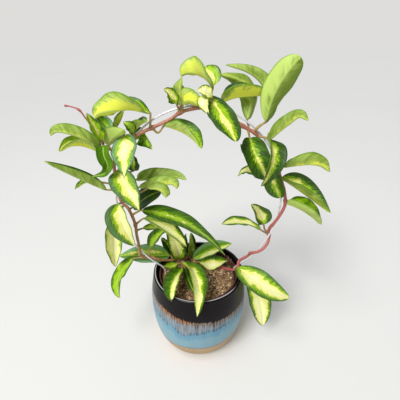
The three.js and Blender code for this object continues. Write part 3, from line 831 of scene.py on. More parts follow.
rightVine = [
    (30, 12, 111), (35, 8, 112), (41, 3, 114), (49, -2, 118), (53, -1, 121), (55, 5, 126),
    (61, 9, 128), (67, 9, 132), (70, 8, 138), (69, 5, 141), (74, 1, 145), (80, 0, 148),
    (86, 1, 153), (91, 4, 160), (92, 8, 168), (91, 8, 176), (92, 5, 184), (94, 2, 190),
    (98, 0.5, 199), (102, 1, 208), (105, 3, 216), (105, 4, 222), (103, 2, 230), (100, 0.5, 240),
    (95, 0.5, 252), (90, 0.5, 265), (83, 1, 276),
]
rightKnots = [0, 4, 14, 21, 24]
youngShoot = [
    (-90, 1, 284), (-95, 2, 287), (-101, 2, 290), (-107, 8, 298), (-114, 12, 308), (-121, 14, 319),
    (-127, 16, 327), (-136, 18, 330), (-142, 18, 331),
]
shootKnots = [3, 6, 8]
crownStems = {
    "crownFrontStem": [(-23, 20, 88), (-23, 19, 103), (-23, 18, 115)],
    "crownBackStem": [(-18, 30, 88), (-18, 29, 102), (-18, 29, 114)],
    "crownRightStem": [(-5, 20, 88), (-5, 19, 103), (-5, 19, 115)],
}


def stemMaterial():
    material, tree, shader = newMaterial("stemSkin")
    tones = paints(stem["colours"])
    place = objectPlace(tree)
    barky, blotch = mottled(place, **stem["bark"])
    corky, cork = mottled(place, **stem["cork"])
    pinkness = carried(tree, "stemPink", "Fac") + blotch * 0.4
    colour = blend(barky, tones["tan"], tones["bark"])
    colour = blend(fade(pinkness, 0.2, 1.2), colour, tones["pink"])
    colour = blend(carried(tree, "stemGreen", "Fac"), colour, tones["olive"])
    fill(shader, {
        "Base Color": blend(corky, colour, tones["dry"]),
        "Roughness": 0.42,
        "Normal": bump(cork + blotch * 0.8, 0.0003),
    })
    return material


def perPoint(values, sides):
    # spreads values, one for each ring of a rod, over the points of the rod
    return [values[0], *(value for value in values for _ in range(sides)), values[-1]]


def buildStem(name, nodes, material, row, knots, pink, radius=(stem["radius"],) * 2, swollen=stem["swell"]):
    # knots are the numbers of the points of row that are nodes; pink and radius are given for both ends
    path = smoothPath(row, stem["stepsPerSpan"])
    centres = [Vector(row[k]) * mm for k in knots]
    radii, pinks = [], []
    for i, point in enumerate(path):
        share = i / (len(path) - 1)
        swell = sum(math.exp(-(((point - c).length / (stem["swellReach"] * mm)) ** 2)) for c in centres)
        uneven = 1 + stem["uneven"] * noise.noise(point * 180)
        thick = radius[0] + (radius[1] - radius[0]) * share
        radii.append(thick * (1 + swollen * min(swell, 1)) * uneven * mm)
        pinks.append(pink[0] + (pink[1] - pink[0]) * share)
    pinks = perPoint(pinks, stem["sides"])
    skin = newSkin(*tube(path, radii, stem["sides"]), stemPink=pinks, stemGreen=0.0)
    makePiece(name, skin, material, nodes)


def buildStems(material):
    nodes = ["vine_left_foot", "vine_left_lower", "vine_left_middle", "vine_left_upper", "vine_top_left",
             "vine_top_right"]
    knots = [k + 1 for k in leftKnots]  # the root comes first in the whole row
    buildStem("leftVineStem", nodes, material, [leftRoot, *leftVine], knots, (0.15, 0.6))
    nodes = ["vine_right_lower", "vine_right_upper"]
    knots = [k + 1 for k in rightKnots]
    buildStem("rightVineStem", nodes, material, [rightRoot, *rightVine], knots, (1.0, 0.75))
    buildStem("youngShoot", ["vine_left_upper"], material, youngShoot, shootKnots, (0.9, 0.9),
              (stem["shootRadius"], stem["shootRadius"] * 0.6), stem["shootSwell"])
    for (name, row), node in zip(crownStems.items(), ("crown_front", "crown_back", "crown_right")):
        buildStem(name, [node], material, row, [2], (0.3, 0.3))
    print("stems made")


# Leaves

blade = {
    "stations": 30,
    "across": (0, 0.05, 0.13, 0.25, 0.4, 0.55, 0.7, 0.82, 0.92, 1.0),
    "fineSteps": 8,  # steps of the fold from each place across to the next
    "middleThickness": 1.3,
    "edgeThickness": 0.8,
    "keelHeight": 0.45,
    "grooveDepth": 0.3,
    "ribHalfWidth": 0.9,
    "leastHalf": 0.4,
    "cup": 0.8,  # how much more the blade turns up near its margin than at its midrib
    "wave": 0.5,
    "stalkRadius": 1.2,
    "stalkSides": 10,
    "relief": 0.00045,
}

# What a blade is like: cream is the half width of its pale heart; its shift to one side, as a share of the
# blade's half width, also paints shade on one half of the underside, painted shade of a half turned from
# the light; lime is the width of the lime band round it; the sheen value paints a blue-green sheen on the
# margins, a painted reflection of the sky; depth is the darkness of the green, and under how yellow the
# underside is.
looks = {
    "heart": {"cream": 0.5, "shift": 0.0, "lime": 0.3, "bloom": 0.25, "depth": 0.45, "under": 0.6},
    "edged": {"cream": 0.6, "shift": 0.0, "lime": 0.2, "bloom": 0.05, "depth": 0.4, "under": 0.7},
    "streak": {"cream": -0.12, "shift": 0.0, "lime": 0.45, "bloom": 0.03, "depth": 0.4, "under": 0.5},
    "green": {"cream": -0.3, "shift": 0.0, "lime": 0.1, "bloom": 0.05, "depth": 0.6, "under": 0.1},
    "lime": {"cream": 0.1, "shift": 0.0, "lime": 0.9, "bloom": 0.0, "depth": 0.25, "under": 0.9},
    "plain": {"cream": -0.05, "shift": 0.0, "lime": 0.2, "bloom": 0.0, "depth": 0.5, "under": 0.0},
}


def leafRow(stalk, rib, faces, width, fold, twist, look, widest=0.4, taper=0.95, **changes):
    # stalk leads from the stem to the first point of rib; faces is the way the upper side looks; fold and
    # twist are in degrees; the blade is widest at the share widest of its length
    return {"stalk": stalk, "rib": rib, "faces": faces, "width": width, "fold": fold, "twist": twist,
            "widest": widest, "taper": taper, **looks[look], **changes}


def leaf(stalk, base, middle, tip, face, *shape, **changes):
    return leafRow(stalk, (base, middle, tip), (face,), *shape, **changes)


def curled(stalk, rib, faces, width, fold, *shape, **changes):
    # a blade that rolls as it goes: faces has one way for each point of rib
    return leafRow(stalk, rib, faces, width, fold, 0, *shape, **changes)


leafSprays = {
    "LeftFoot": ("vine_left_foot", [
        leaf([(-67, 8, 131)], (-64, 5, 150), (-53, 1, 170), (-36, 0, 186),
             (-0.7, -0.5, 0.5), 20, 25, 30, "lime", cream=-0.2, lime=1.0, depth=0.5),
        leaf([(-70, 7, 132)], (-88, 5, 131), (-108, -9, 109), (-100, -38, 103),
             (-0.6, -0.3, 0.7), 25, 10, -20, "lime", cream=-0.15, lime=1.3),
        leaf([(-34, 22, 115)], (-41, 26, 119), (-76, 22, 122), (-111, 19, 124),
             (-0.1, -0.4, 0.9), 33, 30, -10, "heart", cream=0.12, shift=0.35, lime=0.3, bloom=1.5,
             depth=-0.2),
    ]),
    "LeftLower": ("vine_left_lower", [
        leaf([(-91, 1, 221)], (-94, -4, 222), (-92, -11, 199), (-81, -7, 162),
             (0, -1, 0.1), 35, 40, 20, "heart", cream=0.62, shift=-0.35, lime=0.35, bloom=0.6),
        leaf([(-88, 1, 218)], (-99, 0, 208), (-108, -2, 167), (-111, -3, 124),
             (0.3, -0.9, 0), 27, 40, 15, "heart", cream=0.8, bloom=0.5),
        leaf([(-81, 0, 204)], (-66, -8, 216), (-14, -20, 207), (30, -52, 185),
             (0.3, 0, 1), 30, 5, 40, "streak", cream=-0.06, shift=0.12, lime=0.6, depth=0.45),
        leaf([(-78, 0, 190)], (-65, -4, 202), (-37, -15, 190), (-14, -21, 172),
             (0.4, -0.3, 0.9), 30, 50, -10, "edged", depth=0.6, under=0.5),
        leaf([(-84, 0, 212)], (-80, 9, 210), (-59, 0, 230), (-44, 12, 231),
             (-0.4, -0.6, 0.7), 25, 15, 0, "green", lime=0.3, depth=0.85),
        leaf([(-78, 0, 181)], (-71, 9, 178), (-55, 13, 177), (-39, 10, 176),
             (0.1, -0.2, 1), 12, 15, 5, "lime"),
    ]),
    "LeftMiddle": ("vine_left_middle", [
        leaf([(-94, 1, 262)], (-91, 0, 263), (-79, -18, 250), (-64, -31, 230),
             (0.1, -0.7, 0.7), 31, 30, 25, "heart", cream=0.42, shift=-0.1, lime=0.6, bloom=0.6),
        leaf([(-94, 1, 238)], (-108, 2, 238), (-132, -8, 258), (-159, -20, 283),
             (0.5, 0.4, 0.8), 21, 60, 0, "plain", depth=0.6, under=0.1),
        leaf([(-94, 1, 245)], (-119, 9, 245), (-133, 11, 244), (-143, 0, 240),
             (-0.2, 0.1, 1), 14, 35, 5, "lime", depth=0.5),
        curled([(-94, 1, 250)],
               [(-72, 8, 248), (-59, 12, 247), (-47, 13, 248), (-33, 11, 250), (-21, 8, 251),
                (-13, 4, 250)],
               [(0, 0.9, 0.4), (0, 0.9, 0.4), (0, 0.9, 0.4), (0, 0.9, 0.4), (0.2, 0.9, 0.3),
                (0.4, 0.9, 0.3)],
               25, 45, "plain", 0.3, depth=0.5),
        curled([(-94, 1, 241)],
               [(-68, -2, 243), (-56, -5, 246), (-45, -8, 250), (-34, -10, 252), (-27, -11, 252),
                (-23, -12, 247)],
               [(0, 0.9, 0.4), (0, 0.9, 0.4), (0, 0.9, 0.4), (0, 0.9, 0.4), (0.3, 0.9, 0.2),
                (0.4, 0.9, 0)],
               19, 40, "lime", 0.5, 0.7, depth=0.65, under=0.5),
        curled([(-94, 1, 236), (-68, -3, 237)],
               [(-56, -9, 246), (-47, -12, 247), (-41, -14, 246), (-37, -15, 242), (-36, -15, 237)],
               [(0, 0.9, 0.4), (0.2, 0.9, 0.3), (0.4, 0.9, 0), (0.3, 0.9, -0.1), (0.2, 1, 0)],
               16, 40, "lime", 0.5, 0.7, depth=0.75, under=0.3),
        leaf([(-94, 1, 256), (-84, 4, 258)], (-72, 1, 263), (-71, -3, 274), (-70, -4, 284),
             (0, -0.9, -0.4), 15, 30, 0, "streak", cream=0.05, depth=0.8),
    ]),
    "LeftUpper": ("vine_left_upper", [
        curled([(-50, 1, 311), (-49, -1, 319)],
               [(-49, 3, 327), (-58, 0, 330), (-68, -5, 333), (-79, -9, 333), (-90, -10, 332),
                (-99, -8, 329), (-104, -6, 324)],
               [(0, -0.6, 0.8), (0, -0.5, 0.9), (0, 0.1, 1), (0, 0.8, 0.6), (0, 1, 0.3), (-0.2, 1, 0.2),
                (-0.4, 0.9, 0.1)],
               35, 45, "edged", 0.5, cream=0.55, lime=0.35, depth=0.35, under=0.9),
        curled([(-94, 2, 287)],
               [(-105, 1, 291), (-112, -8, 300), (-121, -14, 308), (-133, -16, 313), (-144, -14, 313),
                (-150, -12, 308)],
               [(0.2, 0.5, 0.9), (0.2, 0.8, 0.6), (0.1, 0.9, 0.4), (0, 0.9, 0.4), (-0.2, 0.9, 0.4),
                (-0.5, 0.8, 0.3)],
               19, 40, "plain", depth=0.65, under=0.45),
        leaf([(-101, 2, 290)], (-109, -2, 288), (-127, -9, 297), (-136, -31, 298),
             (0.1, 0.2, 1), 23, 50, 0, "lime", cream=0.55, depth=0.2, under=1.0),
        leaf([(-103, 4, 293)], (-103, 2, 298), (-108, 0, 312), (-113, -2, 328),
             (0.6, -0.7, 0.2), 16, 40, 0, "lime", cream=0.1, lime=1.5, depth=0.1),
        leaf([(-95, 2, 287)], (-99, 9, 290), (-91, 4, 300), (-75, -11, 314),
             (0, 0.8, 0.6), 28, 35, 20, "plain", depth=-0.2),
        leaf([(-89, 1, 285), (-90, 10, 291)], (-94, 12, 302), (-105, 20, 314), (-111, 10, 326),
             (0.5, -0.8, 0.3), 16, 35, 10, "green", lime=0.9, bloom=1.5, depth=-0.4),
        leaf([(-86, 1, 290), (-87, 9, 297)], (-90, 11, 309), (-83, 9, 318), (-78, 10, 330),
             (-0.9, -0.2, 0.5), 14, 50, 0, "edged", cream=0.8, depth=-0.4, under=1.0),
        curled([(-94, 2, 287)],
               [(-101, -4, 294), (-100, -10, 286), (-97, -12, 275), (-101, -12, 266), (-117, -9, 260)],
               [(0, -0.9, 0.5), (0.2, -1, 0.2), (0.3, -0.9, 0.1), (0, -0.9, 0.4), (0, -0.6, 0.8)],
               17, 40, "green", 0.2, 0.9, lime=0.2, depth=0.1),
        leaf([(-80, 1, 295)], (-79, 3, 303), (-76, -16, 288), (-73, -42, 274),
             (-0.3, -0.5, 0.8), 32, 10, 35, "heart", 0.3, 1.3, lime=0.3, bloom=0.7),
        leaf([(-80, 1, 295), (-78, 8, 295)], (-71, 9, 296), (-59, 10, 298), (-47, -19, 296),
             (-0.7, -0.6, 0.4), 22, 35, -55, "lime", cream=-0.2, lime=1.3, depth=0.4),
        leaf([(-68, 1, 302)], (-67, 1, 307), (-69, -8, 316), (-75, -8, 321),
             (0.8, -0.5, -0.1), 11, 15, 0, "lime", cream=-0.2, lime=1.3, depth=0.4),
        leaf([(-72, 1, 300)], (-70, 4, 305), (-61, 2, 315), (-50, -15, 324),
             (-0.5, 0.3, 0.8), 18, 50, 5, "lime", cream=-0.1, lime=1.2, depth=0.4),
        leaf([(-48, 1, 312), (-42, 0, 307)], (-35, 3, 314), (-12, -3, 307), (4, -25, 299),
             (0.4, 0, 0.9), 29, 50, -10, "streak", cream=0.25, lime=0.6, depth=0.2, under=0.7),
    ]),
    "TopLeft": ("vine_top_left", [
        curled([(8, 0.7, 333), (12, 0, 343)],
               [(15, 0, 353), (9, 2, 360), (1, 6, 364), (-7, 10, 365), (-13, 11, 364), (-17, 11, 362)],
               [(0.7, -0.5, 0.6), (0.5, -0.4, 0.8), (0.4, 0.2, 0.9), (0.3, 0.8, 0.5), (-0.1, 0.8, 0.7),
                (-0.4, 0.7, 0.6)],
               34, 45, "edged", 0.3, 0.8, cream=0.65, lime=0.45, depth=0.35, under=0.65),
        curled([(-18, 1, 328)],
               [(-17, -2, 336), (-16, -4, 344), (-17, -5, 353), (-15, -5, 363)],
               [(-0.4, 0.9, 0.1), (-0.3, 1, 0), (-0.6, 0.8, 0), (-0.8, 0.6, 0)],
               22, 35, "lime", 0.3, 1.1, depth=0.4, under=0.8),
        curled([(-17, 1, 328), (-15, -3, 334)],
               [(-15, -4, 338), (-10, -7, 342), (-4, -8, 341), (1, -8, 338), (7, -6, 333)],
               [(0, 0.9, 0.4), (0, 0.9, 0.4), (0, 0.9, 0.4), (0.3, 0.9, 0.3), (0.5, 0.8, 0)],
               24, 35, "lime", 0.15, 1.1, cream=0.5, depth=0.35, under=1.0),
        curled([(-18, 1, 328), (-20, -4, 335)],
               [(-21, -6, 339), (-23, -8, 345), (-27, -9, 350), (-32, -10, 353)],
               [(-0.3, -0.8, 0.5), (-0.3, -0.8, 0.5), (-0.3, -0.8, 0.5), (-0.3, -0.8, 0.5)],
               16, 50, "edged", cream=0.45, lime=0.4),
        leaf([(10, 0.7, 332), (14, -6, 341)], (14, -11, 346), (7, -14, 351), (0, -16, 352),
             (0, -0.7, 0.7), 14, 20, 0, "edged", cream=0.8),
        leaf([(10, 0.7, 332), (14, -8, 338)], (12, -14, 344), (6, -18, 343), (11, -23, 332),
             (-0.5, -0.4, 0.8), 14, 20, 0, "edged", cream=0.8),
        leaf([(12, 0.7, 332)], (9, -6, 347), (22, -18, 332), (35, -47, 314),
             (0.3, -0.6, 0.7), 29, 5, 15, "heart", 0.6, 0.6, cream=0.2, lime=0.5, bloom=0.1, depth=0.6),
    ]),
    "TopRight": ("vine_top_right", [
        leaf([(27, 2, 327), (27, 2, 333)], (25, 4, 338), (47, 5, 344), (80, 14, 342),
             (0, 0.1, 1), 34, 48, 0, "streak", cream=0.45, shift=0.2, lime=0.3, depth=0.9, under=1.3),
        leaf([(54, 1, 310), (54, 7, 312)], (52, 8, 319), (53, 21, 348), (22, 15, 362),
             (-0.3, 1, 0), 25, 40, -15, "plain", cream=0.1, depth=0.55, under=0.4),
        leaf([(60, 1, 307), (62, -1, 313)], (75, 9, 318), (68, 24, 353), (29, 28, 370),
             (0.7, 0.7, 0.4), 20, 40, 5, "plain", depth=0.5),
        # this broad leaf's shift paints the left half of its underside pale as if lit and the right half
        # darker, painted light and shade
        leaf([(60, 1, 307), (61, -2, 311)], (70, -2, 320), (77, -5, 353), (94, -10, 381),
             (0.1, 1, 0), 30, 30, 20, "plain", 0.6, 0.5, cream=-0.4, shift=0.6, depth=0.5),
        leaf([(53, 1, 310)], (55, -2, 302), (62, -23, 285), (76, -11, 258),
             (0, -0.9, 0.3), 27, 25, -10, "streak", 0.38, 0.75, cream=0.12, lime=0.25, depth=0.6),
        leaf([(64, 1, 303)], (73, -7, 303), (76, -29, 288), (68, -24, 256),
             (0.5, -0.9, 0.2), 28, 35, -20, "streak", 0.3, 0.75, cream=0.2, lime=0.35, depth=0.75),
    ]),
    "RightUpper": ("vine_right_upper", [
        leaf([(86, 1, 272)], (82, -1, 270), (86, -8, 251), (96, -5, 231),
             (-0.5, -0.9, -0.1), 23, 20, 20, "streak", 0.5, 0.6, cream=0.08, lime=0.4, depth=0.5),
        leaf([(95, 0.5, 252)], (70, 4, 252), (58, 7, 261), (47, 14, 250),
             (-0.2, -0.3, 0.9), 14, 15, 25, "edged", cream=0.5),
        leaf([(85, 1, 273)], (62, 10, 272), (53, 3, 286), (47, 6, 292),
             (0.4, -0.9, 0.2), 14, 35, 0, "green", depth=0.4),
        curled([(90, 0.5, 265)],
               [(96, -2, 269), (108, -6, 273), (123, -8, 275), (136, -6, 272), (147, -4, 264)],
               [(0, 0.1, 1), (0, 0.4, 0.9), (0, 0.8, 0.6), (0.1, 0.9, 0.4), (0.4, 0.9, 0.3)],
               27, 45, "streak", cream=0.1, depth=0.65, under=0.9),
        leaf([(94, 0.5, 254)], (95, -1, 255), (124, -5, 236), (151, -20, 220),
             (0.5, -0.2, 0.9), 36, 50, 20, "edged", cream=0.4, lime=0.3, depth=0.6, under=0.4),
        curled([(83, 1, 276), (81, -1, 288)],
               [(78, 4, 299), (87, 2, 309), (95, -2, 318), (103, -6, 326), (111, -10, 323)],
               [(-0.3, 0.8, 0.4), (-0.5, 0.8, 0.4), (-0.4, 0.8, 0.5), (0, 0.8, 0.6), (0.5, 0.7, 0.6)],
               21, 45, "plain", cream=0.1, depth=0.6, under=0.5),
    ]),
    "RightLower": ("vine_right_lower", [
        leaf([(50, -2, 118)], (53, -6, 126), (81, -31, 118), (119, -32, 97),
             (0.2, -0.4, 0.9), 36, 15, -25, "heart", 0.38, 0.8, cream=0.55, lime=0.35, bloom=0.15,
             depth=0.3),
        leaf([(54, -1, 121), (62, -1, 122), (68, 0, 116)], (71, 1, 105), (84, -17, 76), (92, -24, 33),
             (0.3, -0.9, 0.2), 32, 15, -20, "heart", 0.45, 0.7, cream=0.65, lime=0.2, bloom=0.1),
        leaf([(92, 8, 171), (85, 5, 179)], (82, 2, 189), (76, 1, 205), (61, -13, 227),
             (0.5, -0.9, -0.1), 25, 35, -10, "heart", cream=0.4, lime=0.15, bloom=0.1, depth=0.6),
        leaf([(92, 8, 169), (84, 4, 176)], (78, -1, 183), (55, 4, 191), (28, -17, 202),
             (0.3, 0.1, 0.9), 23, 15, 20, "edged", cream=0.5, lime=0.3),
        leaf([(105, 4, 221)], (107, 1, 220), (126, -9, 215), (151, -4, 193),
             (0.5, -0.3, 0.8), 30, 65, 5, "lime", cream=-0.1, lime=1.5, depth=0.15, under=0.6),
    ]),
    "CrownBack": ("crown_back", [
        leaf([(-19, 29, 110), (-24, 33, 112)], (-32, 34, 112), (-42, 36, 129), (-54, 45, 136),
             (-0.1, -0.8, 0.6), 20, 50, 40, "streak", depth=0.8),
        leaf([(-19, 29, 109)], (-28, 20, 118), (-30, 10, 151), (-42, 12, 175),
             (0.3, -1, -0.1), 26, 45, 10, "edged", depth=0.5),
        leaf([(-18, 29, 109)], (-22, 28, 112), (-21, 30, 132), (-17, 27, 156),
             (0, -1, 0), 14, 35, 0, "green", depth=0.7),
        leaf([(-18, 29, 110)], (-14, 32, 113), (-12, 31, 134), (-10, 21, 162),
             (1, -0.1, -0.1), 20, 55, 0, "streak", cream=0.15, depth=0.6),
    ]),
    "CrownRight": ("crown_right", [
        leaf([(-5, 19, 111)], (-7, 19, 119), (21, 20, 135), (46, 22, 143),
             (-0.3, -0.5, 0.8), 25, 40, 5, "heart", cream=0.42, shift=0.5, lime=0.35, bloom=1.0,
             depth=-0.1),
        leaf([(-5, 19, 111)], (1, 11, 120), (23, 16, 114), (38, -1, 132),
             (-0.5, -0.5, 0.8), 22, 15, 35, "edged", cream=0.65, shift=0.35, lime=0.3),
    ]),
    "CrownFront": ("crown_front", [
        leaf([(-23, 18, 111)], (-21, 7, 122), (0, -39, 130), (-1, -75, 113),
             (0.2, -0.1, 1), 27, 45, -45, "edged", cream=0.65, shift=0.32, lime=0.25, depth=0.35),
        leaf([(-23, 18, 111)], (-18, 4, 115), (-11, -25, 116), (-2, -43, 111),
             (-0.1, -0.1, 1), 12, 45, 0, "green"),
        leaf([(-23, 18, 111)], (-22, 4, 115), (-32, -41, 130), (-32, -55, 116),
             (-0.1, 0, 1), 23, 35, 20, "edged", cream=0.4, shift=-0.45, depth=0.4),
        leaf([(-23, 18, 111)], (-30, 16, 112), (-39, 9, 114), (-47, 2, 120),
             (0.5, 0, 0.9), 13, 10, -10, "lime"),
    ]),
}


def bladeWidth(t, widest, taper):
    # share of the greatest width at a share t of the length
    rise = taper * widest / (1 - widest)
    peak = widest**rise * (1 - widest) ** taper
    return t**rise * (1 - t) ** taper / peak if 0 < t < 1 else 0.0


def bladeFrame(row, rib, t):
    # the place on the midrib at a share of its length, the way it runs and the way the upper side looks
    faces = [Vector(face) for face in row["faces"]]
    if len(faces) > 1:
        ahead, behind = curvePoint(rib, min(t + 0.01, 1)), curvePoint(rib, max(t - 0.01, 0))
        centre, along = curvePoint(rib, t), (ahead - behind).normalized()
        place = t * (len(faces) - 1)
        before = min(int(place), len(faces) - 2)
        face = faces[before].normalized().lerp(faces[before + 1].normalized(), place - before)
    else:
        base, middle, tip = rib
        bend = 2 * middle - (base + tip) / 2
        centre = base * (1 - t) ** 2 + bend * 2 * t * (1 - t) + tip * t**2
        along = ((bend - base) * (1 - t) + (tip - bend) * t).normalized()
        face = faces[0]
    up = (face - along * face.dot(along)).normalized()
    return centre, along, Matrix.Rotation(-math.radians(row["twist"]) * (t - 0.5), 3, along) @ up


def bladeSteps(foldDegrees):
    # for each place from margin to margin: its side, its share of the half width, how far out and up the
    # folded blade lies there for a half width of 1, and how far it is turned
    fold, across, cup = math.radians(foldDegrees), blade["across"], blade["cup"]

    def turnAt(a):
        return fold * (1 - cup / 2 + cup * a)

    out = rise = 0.0
    steps = []
    for before, a in zip(across, across[1:]):
        stride = (a - before) / blade["fineSteps"]
        for m in range(blade["fineSteps"]):
            angle = turnAt(before + stride * (m + 0.5))
            out += math.cos(angle) * stride
            rise += math.sin(angle) * stride
        steps.append((a, out, rise, turnAt(a)))
    left, right = [(-1, *step) for step in reversed(steps)], [(1, *step) for step in steps]
    return [*left, (0, 0, 0.0, 0.0, turnAt(0)), *right]


def bladeRing(steps, centre, side, up, half, ripples):
    # points round one cross section, each with its share across and 1 on the upper side, 0 on the lower
    fine = min(1.0, half / (3 * mm))
    top, under = [], []
    for sign, a, outward, lift, angle in steps:
        normal = up * math.cos(angle) - side * (sign * math.sin(angle))
        ripple = blade["wave"] * mm * fine * a**2 * ripples[sign or 1]
        rib = math.exp(-((a * half / (blade["ribHalfWidth"] * mm)) ** 2))
        spot = centre + (side * (sign * outward) + up * lift) * half + normal * ripple
        thick = blade["middleThickness"] + (blade["edgeThickness"] - blade["middleThickness"]) * a
        thick = (thick * (0.4 + 0.6 * fine) + blade["keelHeight"] * rib * fine) * mm
        top.append((spot - normal * (blade["grooveDepth"] * rib * fine * mm), sign * a, 1.0))
        under.append((spot - normal * thick, sign * a, 0.0))
    rim = blade["edgeThickness"] * 0.35 * mm
    angle = steps[-1][-1]
    edges = []
    for k, sign in ((0, -1), (-1, 1)):
        outward = side * (sign * math.cos(angle)) + up * math.sin(angle)
        edges.append(((top[k][0] + under[k][0]) / 2 + outward * rim, sign, 0.5))
    return [*top, edges[1], *reversed(under), edges[0]]


def addBlade(skin, row, seed):
    rand = random.Random(seed)
    rib = [Vector(p) * mm for p in row["rib"]]
    length = sum((q - p).length for p, q in zip(rib, rib[1:]))
    phases = {-1: rand.uniform(0, 6.3), 1: rand.uniform(0, 6.3)}
    waves = rand.uniform(2.2, 3.6)
    steps = bladeSteps(row["fold"])
    rings = []
    for i in range(blade["stations"] + 1):
        run = i / blade["stations"]
        t = 0.4 * run + 0.6 * (0.5 - 0.5 * math.cos(math.pi * run))
        centre, along, up = bladeFrame(row, rib, t)
        half = max(blade["leastHalf"], row["width"] / 2 * bladeWidth(t, row["widest"], row["taper"])) * mm
        ripples = {sign: math.sin(fullTurn * waves * t + phase) for sign, phase in phases.items()}
        ring = bladeRing(steps, centre, along.cross(up), up, half, ripples)
        rings.append([(spot, s, t, upper, half) for spot, s, upper in ring])

    def closing(ring):
        # the point that closes the blade over its first or last ring
        return sum((corner[0] for corner in ring), Vector()) / len(ring), 0.0, ring[0][2], 0.5, 0.0

    corners = [closing(rings[0]), *(corner for ring in rings for corner in ring), closing(rings[-1])]
    place = [(s * half / mm, t * length / mm, float(seed % 97)) for _, s, t, _, half in corners]
    share = [(s, t, upper) for _, s, t, upper, _ in corners]
    faces = ringFaces(len(rings), len(rings[0]))
    addPart(skin, [corner[0] for corner in corners], faces, bladePlace=place, bladeShare=share,
            bladeHeart=(row["cream"], row["shift"], row["lime"]),
            bladeTone=(row["bloom"], row["depth"], row["under"]))


def addStalk(skin, row, pink):
    base, middle = row["rib"][:2]
    into = Vector(base).lerp(Vector(middle), 0.06)
    path = smoothPath([*row["stalk"], base, into], stem["stepsPerSpan"])
    shares = [i / (len(path) - 1) for i in range(len(path))]
    radii = [blade["stalkRadius"] * (1 + 0.35 * (1 - share) ** 6 - 0.2 * share) * mm for share in shares]
    greens = perPoint([0.25 + 0.6 * share for share in shares], blade["stalkSides"])
    addPart(skin, *tube(path, radii, blade["stalkSides"]), stemPink=pink, stemGreen=greens)


leafColours = {
    "deep": (38, 70, 4),
    "green": (84, 130, 8),
    "lime": (156, 192, 22),
    "cream": (236, 234, 132),
    "white": (244, 245, 178),
    "bloom": (136, 178, 132),
    "ribPale": (190, 208, 100),
    "ribBrown": (190, 164, 104),
    "underGreen": (116, 142, 36),
    "underPale": (180, 202, 102),
    "underYellow": (222, 226, 72),
}

# How far each noise pushes the edges of the heart and of the lime band, as shares of the half width, how
# far forward veins run for each mm out from the midrib, and how far out its pale line reaches in mm.
variegation = {
    "veinSpacing": 5.0,
    "veinSlant": 1.1,
    "jag": 0.55,
    "broad": 0.9,
    "fleck": 0.25,
    "limeBroad": 2.0,
    "limeFleck": 0.7,
    "ribLine": 0.9,
    "underRibLine": 1.2,
    "bloomStrength": 0.75,
    "veinDepth": -0.4,
}


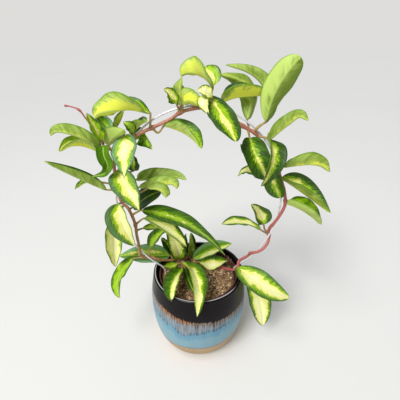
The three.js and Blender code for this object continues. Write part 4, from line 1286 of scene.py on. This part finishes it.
def variegationGroup():
    # colour and relief of a waxy blade from the values that its mesh carries
    tones = paints(leafColours)
    inputs = [("Green", "NodeSocketColor", tones["green"]), ("Deep Green", "NodeSocketColor", tones["deep"]),
              ("Lime", "NodeSocketColor", tones["lime"]), ("Cream", "NodeSocketColor", tones["cream"]),
              ("Vein Spacing", "NodeSocketFloat", variegation["veinSpacing"])]
    outputs = [("Color", "NodeSocketColor"), ("Upper Side", "NodeSocketFloat"), ("Height", "NodeSocketFloat")]
    group, given, result = newGroup("variegation", inputs, outputs)
    x, y, seed = split(carried(group, "bladePlace"))  # mm across and along
    across, along, upperSide = split(carried(group, "bladeShare"))
    cream, shift, lime = split(carried(group, "bladeHeart"))
    bloom, depth, yellow = split(carried(group, "bladeTone"))
    wide, far = abs(x), abs(across)
    layer = seed * 7.3 + calc("SIGN", across) * 4.0

    # veins leave the midrib and slant forward, so colour runs along them
    slant = y - wide * variegation["veinSlant"]
    streaks = join(wide * 0.12, slant * 0.42, layer)
    jag = speckle(streaks, 1.0, 3.0, 0.6) - 0.5
    fleck = speckle(join(wide * 0.4, slant * 1.3, layer), 1.0) - 0.5
    spot = join(x, y, layer)
    broad = speckle(spot, 0.07, 1.0) - 0.5
    patch = speckle(streaks, 0.6)

    foot = fade(along, 0.3, 0.0) * 0.5
    edge = abs(across - shift) - cream + foot + jag * variegation["jag"]
    edge = edge + broad * variegation["broad"] + fleck * variegation["fleck"]
    creamMask = fade(edge, 0.04, -0.04)
    limeWidth = lime * (0.6 + broad * variegation["limeBroad"])
    limeEdge = edge - limeWidth + fleck * variegation["limeFleck"] - foot * 0.9
    limeMask = fade(limeEdge, 0.07, -0.07)

    dark = fade(depth + (far - 0.4) * 0.3 + (patch - 0.5), 0.1, 0.9)
    green = blend(dark, given["Green"], given["Deep Green"])
    limy = blend(fade(patch, 0.35, 0.7), given["Lime"], given["Green"])
    limy = blend(0.65, limy, given["Lime"])
    pale = blend(fade(edge, -0.1, -0.45), given["Cream"], tones["white"])
    upper = blend(limeMask, green, limy)
    upper = blend(creamMask, upper, pale)
    # painted sheen: the margins are tinted blue-green as if they reflected the sky, a painted reflection and
    # not a colour of the leaf
    sheen = bloom * fade(far, 0.35, 0.95) * (1.0 - creamMask)
    upper = blend(sheen * variegation["bloomStrength"], upper, tones["bloom"])
    ribColour = blend(creamMask, tones["ribPale"], tones["ribBrown"])
    ribShare = fade(wide, variegation["ribLine"], 0.35) * (0.55 - creamMask * 0.3)
    upper = blend(ribShare, upper, ribColour)
    upper = blend(fade(far, 0.9, 0.99) * 0.6, upper, given["Deep Green"])

    # the underside's green varies at random, and the shift term paints one half of the underside darker and
    # the other paler: painted shade of a folded half turned from the light
    underToneAndShade = depth + (patch - 0.5) * 1.2 + fleck * 0.5 + broad - shift * across * 1.4
    under = blend(fade(underToneAndShade, 0.0, 0.9), tones["underPale"], tones["underGreen"])
    under = blend(limeMask * 0.35, under, tones["underPale"])
    yellowEdge = edge - 0.1 + fleck * 0.8
    under = blend(fade(yellowEdge, 0.12, -0.12) * yellow, under, tones["underYellow"])
    under = blend(fade(wide, variegation["underRibLine"], 0.4) * 0.6, under, tones["underPale"])
    under = blend(fade(far, 0.84, 1.0) * 0.75, under, given["Green"])

    phase = slant * 6.283 / given["Vein Spacing"] + jag * 1.5
    veins = abs(calc("COSINE", phase * 0.5)) ** 6.0 * fade(far, 1.0, 0.6)
    relief = (veins * variegation["veinDepth"] + jag * 0.6) * (0.3 + upperSide * 0.7)
    fill(result, {
        "Color": blend(fade(upperSide, 0.35, 0.65), under, upper),
        "Upper Side": upperSide,
        "Height": relief + speckle(spot, 1.6) * 0.3,
    })
    return group


def leafMaterial(group):
    material, tree, shader = newMaterial("waxyLeaf")
    given = useGroup(tree, group)
    fill(shader, {
        "Base Color": given["Color"],
        "Roughness": 0.55 - given["Upper Side"] * 0.18,
        "Specular IOR Level": 0.28,
        "Subsurface Weight": 0.25,
        "Subsurface Radius": (0.8, 1.0, 0.2),
        "Subsurface Scale": 0.003,
        "Normal": bump(given["Height"], blade["relief"]),
    })
    return material


def buildLeaves(stemPaint):
    material = leafMaterial(variegationGroup())
    seed = 0
    for name, (node, rows) in leafSprays.items():
        blades, stalks = newSkin(), newSkin()
        for row in rows:
            seed += 1
            addBlade(blades, row, seed)
            addStalk(stalks, row, 0.8 if name.startswith("Right") else 0.25)
        makePiece("leaves" + name, blades, material, [node])
        makePiece("stalks" + name, stalks, stemPaint, [node])
    print("leaves made:", seed)


buildCamera()
buildLights()
buildSky()
buildFloor()
buildPot()
buildLiner()
buildSoil()
buildHoop()
stemPaint = stemMaterial()
buildStems(stemPaint)
buildLeaves(stemPaint)

print("finished")
